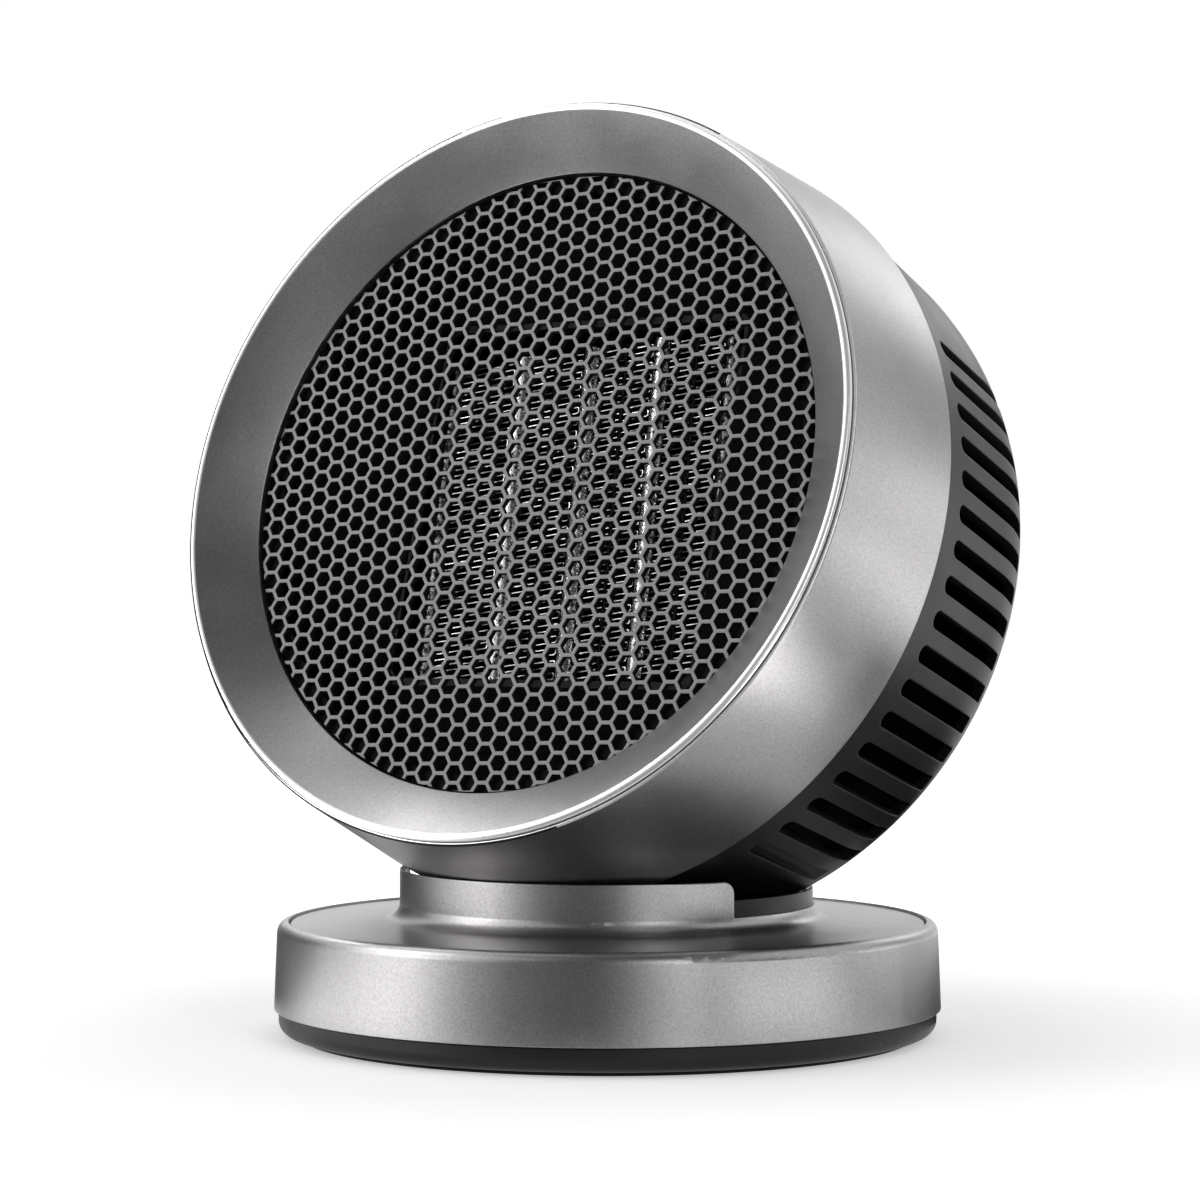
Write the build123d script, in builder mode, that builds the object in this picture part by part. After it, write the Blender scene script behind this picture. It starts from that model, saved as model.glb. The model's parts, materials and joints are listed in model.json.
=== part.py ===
from build123d import *
from math import acos, cos, pi, radians, sin, sqrt, tan
import os

os.makedirs("parts", exist_ok=True)

# Millimetres. The heater stands on Z = 0, its swivel axis is Z and its air outlet heads to -Y.
# The head is drawn along its own axis, which at rest points up by rest_tilt.

# Base
base_radius = 90.0
base_top_radius = 89.2
base_seam_z = 7.8
base_top_z = 31.0
base_wall = 2.4
base_lip = 2.8
opening_radius = 86.2
floor_z = 3.7
tray_bottom_z = 1.2
tray_radius = 88.8
tray_top_z = 7.4
tray_wall = 2.0
tray_fillet = 3.4
foot_inner = 79.0
foot_outer = 83.6
foot_height = 2.4
boss_circle = 74.0
boss_radius = 4.0
boss_top_z = 24.0
screw_radius = 1.5
screw_hole = 1.7
pilot_radius = 1.25
slack = 0.2
edge_break = 0.5
through = 1.0

# Swivel bearing and drive
hub_inner = 11.0
hub_outer = 15.0
bearing_slack = 0.05
bearing_outer = 19.0
bearing_low_z = 9.0
bearing_top_z = 16.0
bearing_foot = 24.0
bearing_step_z = 11.5
bearing_pit = 22.0
hub_bottom_z = 8.4
hub_top_z = 18.2
gear_module = 1.0
gear_teeth = 114
pinion_teeth = 18
gear_backlash = 0.30
pressure_angle = radians(20)
addendum = 0.95 * gear_module
dedendum = 1.25 * gear_module
gear_bottom_z = 21.2
gear_top_z = 26.2
gear_half_angle = 50.0
drive_angle = 180.0

# Turntable, with its raised collar in two heights
plate_radius = 85.9
plate_under_z = 28.2
plate_edge_z = 30.4
plate_inner_z = 31.6
flare_radius = 60.2
flare_top_z = 35.4
apron_radius = 56.25
collar_radius = 55.6
collar_inner = 54.0
collar_top_z = 40.0
apron_top_z = 44.85
apron_inner_z = 44.15
apron_round = 0.3
apron_half_angle = 68.0
apron_inner = 54.8
apron_corner = 3.4

# Cradle under the head
cradle_radius = 113.2
cradle_wall = 2.2
cradle_outer = 53.8
cradle_inner = 52.0
cradle_top_z = 38.0
pocket_radius = 27.0
pocket_z = 21.0
flange_inner = 50.0
flange_outer = 64.0

# Head, by distance forward of the tilt axis and by radius
tilt_z = 137.0
rest_tilt = 17.5
tilt_travel = 12.0
grille_edge = 42.6
grille_opening = 85.5
bezel_rim = 52.9
bezel_rim_radius = 98.1
lip_crest = 54.4
lip_radius = 100.9
band_front = 52.0
seam = 8.0
band_seam_radius = 106.4
band_wall = 2.2
dome_front = 7.6
dome_radius = 105.2
dome_turn = -30.0
dome_turn_radius = 103.9
dome_arc = 45.7
dome_back = -75.7
dome_flat = 58.2
dome_wall = 3.0
panel_radius = 46.0
panel_face = -70.7

# Air outlet grille
cell_pitch = 5.15
cell_hole = 3.95
grille_radius = 84.0
grille_clear = 83.1
grille_front = 41.4
grille_thick = 1.8

# Air inlet slots in the dome
slots_per_side = 17
slot_first = 28.0
slot_step = 5.2
slot_width = 4.8
slot_front = -1.5
slot_rear = -46.0

# Heating element
bar_pitch = 22.0
bar_count = 5
bar_width = 5.0
core_height = 97.0
core_front = 19.0
core_depth = 14.0
fin_step = 1.7
fin_thick = 0.3
core_window_w = 93.4
core_window_h = 98.0
frame_wall = 4.0

# Fan
shroud_radius = 69.0
shroud_wall = 2.0
shroud_back = -30.0
fan_front = -10.0
fan_depth = 17.0
blade_count = 7
fan_hub_radius = 20.0
shaft_radius = 2.0
motor_radius = 20.0
motor_back = -55.0
arm_thick = 4.0

# Tilt joint
yoke_inner = 90.0
yoke_outer = 93.0
yoke_half_width = 8.0
pad_radius = 11.0
pin_radius = 4.0
bracket_inner = 84.5
bracket_outer = 87.5
neck_width = 26.0
neck_depth = 14.0

# Controls on the back
knob_offset = 26.0
knob_radius = 14.0
button_offset = 32.0
button_radius = 5.0

tilt_centre = Vector(0, 0, tilt_z)
head_axis = Vector(0, -cos(radians(rest_tilt)), sin(radians(rest_tilt)))
head_up = Vector(0, sin(radians(rest_tilt)), cos(radians(rest_tilt)))
head_line = Axis(tilt_centre, head_axis)
head_section = Plane(origin=tilt_centre, x_dir=head_axis, z_dir=(-1, 0, 0))


def head_face(forward):
    """A plane square to the head's axis, at a distance forward of the tilt axis."""
    return Plane(origin=tilt_centre + head_axis * forward, x_dir=(1, 0, 0), z_dir=head_axis)


def ring_points(radius, angles):
    """Points on a circle at the given angles in degrees."""
    return [(radius * cos(radians(a)), radius * sin(radians(a))) for a in angles]


def wedge_points(half_angle, centre_angle, reach):
    """A sector's corners about the origin, for half angles under 90 degrees."""
    a, b = radians(centre_angle - half_angle), radians(centre_angle + half_angle)
    c = radians(centre_angle)
    far = reach / cos(radians(half_angle))
    return [(0, 0), (far * cos(a), far * sin(a)),
            (far * cos(a) + reach * cos(c), far * sin(a) + reach * sin(c)),
            (far * cos(b) + reach * cos(c), far * sin(b) + reach * sin(c)),
            (far * cos(b), far * sin(b))]


def save(part, name):
    """Labels a finished piece and writes it."""
    part.label = name
    export_step(part, "parts/" + name + ".step")


# Foot ring
with BuildPart() as foot_ring:
    with BuildSketch(Plane.XZ):
        with Locations(((foot_inner + foot_outer) / 2, foot_height / 2)):
            Rectangle(foot_outer - foot_inner, foot_height)
    revolve(axis=Axis.Z)
    chamfer(foot_ring.faces().sort_by(Axis.Z)[0].edges(), edge_break)
save(foot_ring.part, "foot_ring")

# Base tray, with the raised bearing at its centre
shell_angles = (45, 135, 225, 315)
tip_spot = (60.0, -25.0)
gear_pitch = gear_module * gear_teeth / 2
pinion_pitch = gear_module * pinion_teeth / 2
gear_slack = 0.10
gear_distance = gear_pitch + pinion_pitch + gear_slack
motor_spot = (-gear_distance, 0)
ear_reach = 17.3
motor_ears = ((-gear_distance, ear_reach), (-gear_distance, -ear_reach))
tip_hole = 3.6
tray_seat_radius = 3.4
tray_seat_depth = 1.2
motor_pilot_depth = 2.1
with BuildPart() as base_tray:
    with BuildSketch(Plane.XZ):
        with BuildLine():
            Polyline((bearing_pit, tray_bottom_z), (foot_inner - slack, tray_bottom_z),
                     (foot_inner - slack, foot_height), (foot_outer + slack, foot_height),
                     (foot_outer + slack, tray_bottom_z),
                     (tray_radius - tray_fillet, tray_bottom_z))
            TangentArc((tray_radius - tray_fillet, tray_bottom_z),
                       (tray_radius, tray_bottom_z + tray_fillet), tangent=(1, 0))
            Polyline((tray_radius, tray_bottom_z + tray_fillet), (tray_radius, tray_top_z),
                     (tray_radius - tray_wall, tray_top_z), (tray_radius - tray_wall, floor_z),
                     (bearing_foot, floor_z), (bearing_foot, bearing_step_z),
                     (bearing_outer, bearing_step_z), (bearing_outer, bearing_top_z),
                     (hub_outer + bearing_slack, bearing_top_z),
                     (hub_outer + bearing_slack, bearing_low_z), (bearing_pit, bearing_low_z),
                     (bearing_pit, tray_bottom_z))
        make_face()
    revolve(axis=Axis.Z)
    with BuildSketch(Plane.XY):
        with Locations(*ring_points(boss_circle, shell_angles)):
            Circle(screw_hole)
        with Locations(tip_spot):
            Circle(tip_hole)
    extrude(amount=floor_z + through, mode=Mode.SUBTRACT)
    with BuildSketch(Plane.XY):
        with Locations(*ring_points(boss_circle, shell_angles)):
            Circle(tray_seat_radius)
    extrude(amount=tray_bottom_z + tray_seat_depth, mode=Mode.SUBTRACT)
    with BuildSketch(Plane.XY.offset(floor_z)):
        with Locations(*motor_ears):
            Circle(pilot_radius)
    extrude(amount=-motor_pilot_depth, mode=Mode.SUBTRACT)
save(base_tray.part, "base_tray")

# Base shell, with four screw bosses ribbed to its wall and a cable hole at the back
gland_z = 17.0
gland_hole = 6.1
rib_circle = 81.5
rib_length = 13.5
rib_thick = 2.4
boss_hole_depth = 14.0
opening_lip = 2.2
opening_bevel = 0.8
with BuildPart() as base_shell:
    with BuildSketch(Plane.XZ):
        with BuildLine():
            Polyline((base_radius - base_wall, base_seam_z), (base_radius, base_seam_z),
                     (base_top_radius, base_top_z - base_lip))
            TangentArc((base_top_radius, base_top_z - base_lip),
                       (base_top_radius - base_lip, base_top_z), tangent=(-0.03, 1))
            Polyline((base_top_radius - base_lip, base_top_z), (opening_radius, base_top_z),
                     (opening_radius, base_top_z - opening_lip),
                     (opening_radius + opening_bevel, base_top_z - opening_lip - opening_bevel),
                     (base_radius - base_wall, base_seam_z))
        make_face()
    revolve(axis=Axis.Z)
    with BuildSketch(Plane.XY.offset(floor_z)):
        with Locations(*ring_points(boss_circle, shell_angles)):
            Circle(boss_radius)
    extrude(amount=boss_top_z - floor_z)
    with BuildSketch(Plane.XY.offset(base_seam_z)):
        for angle in shell_angles:
            spot = (rib_circle * cos(radians(angle)), rib_circle * sin(radians(angle)))
            with Locations(Location(spot, angle)):
                Rectangle(rib_length, rib_thick)
    extrude(amount=boss_top_z - base_seam_z)
    with BuildSketch(Plane.XY.offset(floor_z)):
        with Locations(*ring_points(boss_circle, shell_angles)):
            Circle(screw_radius)
    extrude(amount=boss_hole_depth, mode=Mode.SUBTRACT)
    with BuildSketch(Plane.XZ.offset(-base_radius - through)):
        with Locations((0, gland_z)):
            Circle(gland_hole)
    extrude(amount=8, mode=Mode.SUBTRACT)
save(base_shell.part, "base_shell")

# Hub cover, the disc that closes the tray under the bearing, level with the foot ring
hub_cover_thick = 2.0
hub_cover_rim = 1.6
with BuildPart() as hub_cover:
    with BuildSketch(Plane.XY):
        Circle(bearing_pit - slack)
    extrude(amount=tray_bottom_z + hub_cover_thick)
    chamfer(hub_cover.faces().sort_by(Axis.Z)[0].edges(), edge_break)
    with BuildSketch(Plane.XY.offset(tray_bottom_z + hub_cover_thick)):
        Circle(bearing_pit - edge_break)
        Circle(bearing_pit - 2.0, mode=Mode.SUBTRACT)
    extrude(amount=hub_cover_rim)
save(hub_cover.part, "hub_cover")

# Tray screws, driven up into the shell's bosses
tray_screw_z = tray_bottom_z + slack
tray_head_radius = 2.8
tray_head_thick = 1.0
tray_screw_length = 14.0
driver_cross = (3.2, 0.7)
driver_depth = 0.6
with BuildPart() as tray_screws:
    with BuildSketch(Plane.XY.offset(tray_screw_z)):
        with Locations(*ring_points(boss_circle, shell_angles)):
            Circle(tray_head_radius)
    extrude(amount=tray_head_thick)
    with BuildSketch(Plane.XY.offset(tray_screw_z)):
        with Locations(*ring_points(boss_circle, shell_angles)):
            Circle(screw_radius)
    extrude(amount=tray_screw_length)
    with BuildSketch(Plane.XY.offset(tray_screw_z)):
        with Locations(*ring_points(boss_circle, shell_angles)):
            Rectangle(*driver_cross)
            Rectangle(*driver_cross[::-1])
    extrude(amount=driver_depth, mode=Mode.SUBTRACT)
save(tray_screws.part, "tray_screws")

# Ballast ring that keeps the base planted
ballast_outer = 46.0
ballast_inner = 27.0
ballast_height = 7.0
ballast_chamfer = 0.6
with BuildPart() as ballast_ring:
    with BuildSketch(Plane.XY.offset(floor_z)):
        Circle(ballast_outer)
        Circle(ballast_inner, mode=Mode.SUBTRACT)
    extrude(amount=ballast_height)
    chamfer(ballast_ring.edges(), ballast_chamfer)
save(ballast_ring.part, "ballast_ring")

# Cable gland in the back wall of the base, with its bore left open
gland_bore = 3.7
gland_tube = 6.0
gland_inner_y = 79.0
gland_outer_y = 91.0
gland_collar = 7.4
gland_collar_hole = 5.0
gland_collar_depth = 7.6
gland_flange = 8.0
gland_flange_y = 90.3
gland_flange_thick = 3.2
gland_chamfer = 0.8


def gland_plane(y):
    """A plane square to the gland's bore."""
    return Plane(origin=(0, y, gland_z), x_dir=(1, 0, 0), z_dir=(0, 1, 0))


with BuildPart() as cable_gland:
    with BuildSketch(gland_plane(0)):
        Circle(gland_tube)
    extrude(amount=gland_outer_y)
    with BuildSketch(gland_plane(gland_inner_y)):
        Circle(gland_collar)
        Circle(gland_collar_hole, mode=Mode.SUBTRACT)
    extrude(amount=gland_collar_depth)
    with BuildSketch(gland_plane(gland_flange_y)):
        Circle(gland_flange)
    extrude(amount=gland_flange_thick)
    chamfer(cable_gland.faces().sort_by(Axis.Y)[-1].edges(), gland_chamfer)
    split(bisect_by=Plane(origin=(0, gland_inner_y, 0), z_dir=(0, 1, 0)), keep=Keep.TOP)
    with BuildSketch(gland_plane(gland_inner_y - through)):
        Circle(gland_bore)
    extrude(amount=20, mode=Mode.SUBTRACT)
save(cable_gland.part, "cable_gland")

# Terminal block just inside the gland
terminal_spots = ((-8, 60), (0, 60), (8, 60))
terminal_size = (26, 12)
terminal_height = 11.0
terminal_screw = 2.2
wire_hole = 1.8
with BuildPart() as terminal_block:
    with BuildSketch(Plane.XY.offset(floor_z)):
        with Locations(terminal_spots[1]):
            RectangleRounded(*terminal_size, 1.5)
    extrude(amount=terminal_height)
    with BuildSketch(Plane.XY.offset(floor_z + terminal_height)):
        with Locations(*terminal_spots):
            Circle(terminal_screw)
    extrude(amount=-5, mode=Mode.SUBTRACT)
    with BuildSketch(Plane(origin=(0, 66, floor_z + 5), x_dir=(1, 0, 0), z_dir=(0, 1, 0))):
        with Locations((-8, 0), (0, 0), (8, 0)):
            Circle(wire_hole)
    extrude(amount=-12, mode=Mode.SUBTRACT)
save(terminal_block.part, "terminal_block")

# Control board with its relay, capacitor and connector
board_y = -61.0
board_standoff = 3.0
board_thick = 1.6
board_top_z = floor_z + board_standoff + board_thick
relay_height, capacitor_height, connector_height = 11.0, 10.0, 7.0
with BuildPart() as control_board:
    with BuildSketch(Plane.XY.offset(floor_z + board_standoff)):
        with Locations((-14, board_y)):
            RectangleRounded(60, 20, 1.5)
    extrude(amount=board_thick)
    with BuildSketch(Plane.XY.offset(floor_z)):
        with Locations((-40, board_y), (12, board_y)):
            Circle(2.5)
    extrude(amount=board_standoff + 0.1)
    with BuildSketch(Plane.XY.offset(board_top_z)):
        with Locations((-30, board_y)):
            Rectangle(15, 12)
    extrude(amount=relay_height)
    with BuildSketch(Plane.XY.offset(board_top_z)):
        with Locations((-12, board_y)):
            Circle(5)
    extrude(amount=capacitor_height)
    with BuildSketch(Plane.XY.offset(board_top_z)):
        with Locations((4, board_y)):
            Rectangle(8, 14)
    extrude(amount=connector_height)
save(control_board.part, "control_board")

# Tip-over switch and its plunger, which reaches down through the tray
plunger_radius = 3.0
plunger_low_z = 0.25
plunger_length = 12.0
plunger_chamfer = 0.8
tip_switch_size = (20, 12)
tip_switch_height = 15.0
tip_switch_bore = 11.0
with BuildPart() as tip_switch:
    with BuildSketch(Plane.XY.offset(floor_z)):
        with Locations(tip_spot):
            RectangleRounded(*tip_switch_size, 1)
    extrude(amount=tip_switch_height)
    with BuildSketch(Plane.XY.offset(floor_z)):
        with Locations(tip_spot):
            Circle(plunger_radius + 0.4)
    extrude(amount=tip_switch_bore, mode=Mode.SUBTRACT)
save(tip_switch.part, "tip_switch")
with BuildPart() as tip_plunger:
    with BuildSketch(Plane.XY.offset(plunger_low_z)):
        with Locations(tip_spot):
            Circle(plunger_radius)
    extrude(amount=plunger_length)
    chamfer(tip_plunger.faces().sort_by(Axis.Z)[0].edges(), plunger_chamfer)
save(tip_plunger.part, "tip_plunger")

# Swivel motor, standing in the base beside the gear
spindle_radius = 2.5
swivel_motor_radius = 14.5
swivel_motor_height = 12.5
swivel_motor_neck = 5.5
ear_thick = 1.5
ear_size = 8.0
ear_hole = 1.3
ear_head_radius = 2.4
with BuildPart() as swivel_motor:
    with BuildSketch(Plane.XY.offset(floor_z)):
        with Locations(motor_spot):
            Circle(swivel_motor_radius)
    extrude(amount=swivel_motor_height)
    fillet(swivel_motor.edges(), 1.0)
    with BuildSketch(Plane.XY.offset(floor_z + swivel_motor_height - 0.1)):
        with Locations(motor_spot):
            Circle(swivel_motor_neck)
    extrude(amount=3.0)
    with BuildSketch(Plane.XY.offset(floor_z)):
        with Locations((-gear_distance, ear_reach - 1), (-gear_distance, 1 - ear_reach)):
            RectangleRounded(ear_size, ear_size, 2)
    extrude(amount=ear_thick)
    with BuildSketch(Plane.XY.offset(floor_z + 3)):
        with Locations(motor_spot):
            Circle(spindle_radius + bearing_slack)
    extrude(amount=20, mode=Mode.SUBTRACT)
    with BuildSketch(Plane.XY):
        with Locations(*motor_ears):
            Circle(ear_hole)
    extrude(amount=8, mode=Mode.SUBTRACT)
save(swivel_motor.part, "swivel_motor")
with BuildPart() as swivel_motor_screws:
    with BuildSketch(Plane.XY.offset(floor_z - 2.0)):
        with Locations(*motor_ears):
            Circle(pilot_radius)
    extrude(amount=4.0)
    with BuildSketch(Plane.XY.offset(floor_z + ear_thick)):
        with Locations(*motor_ears):
            Circle(ear_head_radius)
    extrude(amount=1.4)
save(swivel_motor_screws.part, "swivel_motor_screws")


def tooth_flank(teeth, radius):
    """The angle from a tooth's middle to its involute flank at a radius."""
    pitch = gear_module * teeth / 2
    base = pitch * cos(pressure_angle)
    at_pitch = (pi * gear_module / 2 - gear_backlash / 2) / (2 * pitch)
    pressure = acos(min(1.0, base / radius))
    return at_pitch + (tan(pressure_angle) - pressure_angle) - (tan(pressure) - pressure)


def gear_tooth(teeth):
    """One tooth about the X axis, from inside the root circle to the tip."""
    pitch = gear_module * teeth / 2
    root, tip = pitch - dedendum, pitch + addendum
    start = max(root, pitch * cos(pressure_angle))
    middle = (start + tip) / 2
    upper = [Vector(r * cos(a), r * sin(a)) for r, a in
             ((r, tooth_flank(teeth, r)) for r in (start, middle, tip))]
    foot_angle = tooth_flank(teeth, start)
    foot = Vector((root - 0.3) * cos(foot_angle), (root - 0.3) * sin(foot_angle))

    def below(p):
        return Vector(p.X, -p.Y)

    with BuildSketch(mode=Mode.PRIVATE) as tooth:
        with BuildLine():
            Line(below(foot), foot)
            Line(foot, upper[0])
            ThreePointArc(*upper)
            Line(upper[2], below(upper[2]))
            ThreePointArc(below(upper[2]), below(upper[1]), below(upper[0]))
            Line(below(upper[0]), below(foot))
        make_face()
    return tooth.sketch


# Pinion on its spindle
with BuildPart() as swivel_pinion:
    with BuildSketch(Plane.XY.offset(gear_bottom_z - 1.0)):
        with Locations(motor_spot):
            Circle(pinion_pitch - dedendum)
        with Locations(motor_spot):
            with PolarLocations(0, pinion_teeth):
                add(gear_tooth(pinion_teeth))
    extrude(amount=gear_top_z - gear_bottom_z + 0.6)
    with BuildSketch(Plane.XY.offset(floor_z + 4)):
        with Locations(motor_spot):
            Circle(spindle_radius)
    extrude(amount=gear_top_z - floor_z - 4.6)
save(swivel_pinion.part, "swivel_pinion")

# Gear sector under the turntable, centred on the pinion
sector_teeth = int(2 * gear_half_angle * gear_teeth / 360) - 1
sector_step = 360.0 / gear_teeth
sector_span = sector_step * (sector_teeth - 1)
gear_head_hole = 2.25
gear_screw_circle = 53.0
gear_screw_angles = (145, 180, 215)
gear_screw_seat = 2.5
with BuildPart() as swivel_gear:
    with BuildSketch(Plane.XY.offset(gear_bottom_z)):
        Circle(gear_pitch - dedendum)
        Circle(flange_inner + 0.5, mode=Mode.SUBTRACT)
        Polygon(*wedge_points(gear_half_angle, drive_angle, 150), align=None, mode=Mode.INTERSECT)
        with PolarLocations(0, sector_teeth, start_angle=drive_angle - sector_span / 2,
                            angular_range=sector_span, endpoint=True):
            add(gear_tooth(gear_teeth))
    extrude(amount=gear_top_z - gear_bottom_z)
    with BuildSketch(Plane.XY.offset(gear_bottom_z)):
        with Locations(*ring_points(gear_screw_circle, gear_screw_angles)):
            Circle(pilot_radius)
    extrude(amount=10, mode=Mode.SUBTRACT)
    with BuildSketch(Plane.XY.offset(gear_bottom_z)):
        with Locations(*ring_points(gear_screw_circle, gear_screw_angles)):
            Circle(gear_head_hole)
    extrude(amount=gear_screw_seat, mode=Mode.SUBTRACT)
save(swivel_gear.part, "swivel_gear")

# Turntable cover: plate, flare, low collar and the tall apron at the front
plate_screw_circle = 61.2
plate_pilot_depth = 2.2
rim_round = 0.4
plate_screw_angles = (0, 60, 120, 240, 300)
with BuildPart() as turntable_cover:
    with BuildSketch(Plane.XZ):
        with BuildLine():
            Polyline((collar_inner, plate_under_z), (plate_radius, plate_under_z),
                     (plate_radius, plate_edge_z - edge_break), (plate_radius - edge_break, plate_edge_z),
                     (flare_radius, plate_inner_z))
            TangentArc((flare_radius, plate_inner_z), (apron_radius, flare_top_z), tangent=(-1, 0.05))
            Polyline((apron_radius, flare_top_z), (collar_radius, flare_top_z),
                     (collar_radius, collar_top_z - 0.2), (collar_radius - rim_round, collar_top_z),
                     (collar_inner, collar_top_z - 1.0), (collar_inner, plate_under_z))
        make_face()
    revolve(axis=Axis.Z)
    with BuildSketch(Plane.XY.offset(flare_top_z - 0.6)):
        Circle(apron_radius)
        Circle(apron_inner, mode=Mode.SUBTRACT)
        Polygon(*wedge_points(apron_half_angle, -90, 150), align=None, mode=Mode.INTERSECT)
    extrude(amount=apron_top_z - flare_top_z + 0.6)
    fillet([e for e in turntable_cover.edges().filter_by(GeomType.LINE)
            if abs(e.center().Z - apron_top_z) < 0.01], apron_corner)
    fillet(turntable_cover.faces().sort_by(Axis.Z)[-1].edges(), apron_round)
    with BuildSketch(Plane.XZ):
        Polygon((apron_inner, apron_inner_z), (apron_radius - apron_round, apron_top_z),
                (apron_radius - apron_round, apron_top_z + through), (collar_inner, apron_top_z + through),
                (collar_inner, apron_inner_z), align=None)
    revolve(axis=Axis.Z, mode=Mode.SUBTRACT)
    with BuildSketch(Plane.XY.offset(plate_under_z)):
        with Locations(*ring_points(plate_screw_circle, plate_screw_angles)):
            Circle(pilot_radius)
    extrude(amount=plate_pilot_depth, mode=Mode.SUBTRACT)
save(turntable_cover.part, "turntable_cover")

# Turntable screws, up through the cradle's flange into the cover, and through the gear into the flange
turntable_head_radius = 2.0
turntable_head_thick = 1.2
turntable_shank = 4.0
screw_rows = ((gear_top_z, plate_screw_circle, plate_screw_angles),
              (gear_bottom_z + gear_screw_seat, gear_screw_circle, gear_screw_angles))
with BuildPart() as turntable_screws:
    for seat_z, circle, angles in screw_rows:
        with BuildSketch(Plane.XY.offset(seat_z - turntable_head_thick)):
            with Locations(*ring_points(circle, angles)):
                Circle(turntable_head_radius)
        extrude(amount=turntable_head_thick)
        with BuildSketch(Plane.XY.offset(seat_z)):
            with Locations(*ring_points(circle, angles)):
                Circle(pilot_radius)
        extrude(amount=turntable_shank)
save(turntable_screws.part, "turntable_screws")


def cradle_height(radius, sphere):
    """Height of a bowl about the tilt centre at a distance from the swivel axis."""
    return tilt_z - sqrt(sphere ** 2 - radius ** 2)


# Cradle cup: the dished floor under the head, its wall, its flange and the hub below
retainer_angles = (90, 210, 330)
retainer_circle = 13.0
retainer_screw = 1.2
yoke_screw_spots = ((16.5, 11.5), (-16.5, 11.5), (16.5, -11.5), (-16.5, -11.5))
under = cradle_radius + cradle_wall
pocket_under = pocket_radius + cradle_wall
under_inner = (cradle_inner, cradle_height(cradle_inner, under))
over_inner = (cradle_inner, cradle_height(cradle_inner, cradle_radius))
with BuildPart() as cradle_cup:
    with BuildSketch(Plane.XZ):
        with BuildLine():
            Polyline((hub_inner, hub_bottom_z), (hub_outer, hub_bottom_z), (hub_outer, hub_top_z),
                     (pocket_under, hub_top_z), (pocket_under, cradle_height(pocket_under, under)))
            ThreePointArc((pocket_under, cradle_height(pocket_under, under)),
                          (41, cradle_height(41, under)), under_inner)
            Polyline(under_inner, (cradle_inner, plate_under_z),
                     (flange_inner, plate_under_z), (flange_inner, gear_top_z),
                     (flange_outer, gear_top_z), (flange_outer, plate_under_z),
                     (cradle_outer, plate_under_z), (cradle_outer, cradle_top_z),
                     (cradle_inner, cradle_top_z), over_inner)
            ThreePointArc(over_inner, (40, cradle_height(40, cradle_radius)),
                          (pocket_radius, cradle_height(pocket_radius, cradle_radius)))
            Polyline((pocket_radius, cradle_height(pocket_radius, cradle_radius)),
                     (pocket_radius, pocket_z), (hub_inner, pocket_z), (hub_inner, hub_bottom_z))
        make_face()
    revolve(axis=Axis.Z)
    with BuildSketch(Plane.XY.offset(hub_bottom_z)):
        with Locations(*ring_points(retainer_circle, retainer_angles)):
            Circle(retainer_screw)
    extrude(amount=6, mode=Mode.SUBTRACT)
    with BuildSketch(Plane.XY.offset(pocket_z)):
        with Locations(*yoke_screw_spots):
            Circle(screw_radius)
    extrude(amount=-2.5, mode=Mode.SUBTRACT)
    with BuildSketch(Plane.XY.offset(gear_top_z)):
        with Locations(*ring_points(gear_screw_circle, gear_screw_angles)):
            Circle(pilot_radius)
        with Locations(*ring_points(plate_screw_circle, plate_screw_angles)):
            Circle(pilot_radius)
    extrude(amount=plate_under_z - gear_top_z, mode=Mode.SUBTRACT)
save(cradle_cup.part, "cradle_cup")

# Hub retainer, screwed to the hub's lower end under the bearing
retainer_thick = 1.8
retainer_head_thick = 1.0
with BuildPart() as hub_retainer:
    with BuildSketch(Plane.XY.offset(hub_bottom_z - retainer_thick)):
        Circle(19.5)
        Circle(9.0, mode=Mode.SUBTRACT)
        with Locations(*ring_points(retainer_circle, retainer_angles)):
            Circle(retainer_screw, mode=Mode.SUBTRACT)
    extrude(amount=retainer_thick)
save(hub_retainer.part, "hub_retainer")
with BuildPart() as retainer_screws:
    with BuildSketch(Plane.XY.offset(hub_bottom_z - retainer_thick - retainer_head_thick)):
        with Locations(*ring_points(retainer_circle, retainer_angles)):
            Circle(2.0)
    extrude(amount=retainer_head_thick)
    with BuildSketch(Plane.XY.offset(hub_bottom_z - retainer_thick)):
        with Locations(*ring_points(retainer_circle, retainer_angles)):
            Circle(retainer_screw)
    extrude(amount=retainer_thick + 5.8)
save(retainer_screws.part, "retainer_screws")

# Thrust washer between the bearing and the cradle
with BuildPart() as thrust_washer:
    with BuildSketch(Plane.XY.offset(bearing_top_z)):
        Circle(bearing_outer)
        Circle(hub_outer + 0.4, mode=Mode.SUBTRACT)
    extrude(amount=1.9)
save(thrust_washer.part, "thrust_washer")

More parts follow.
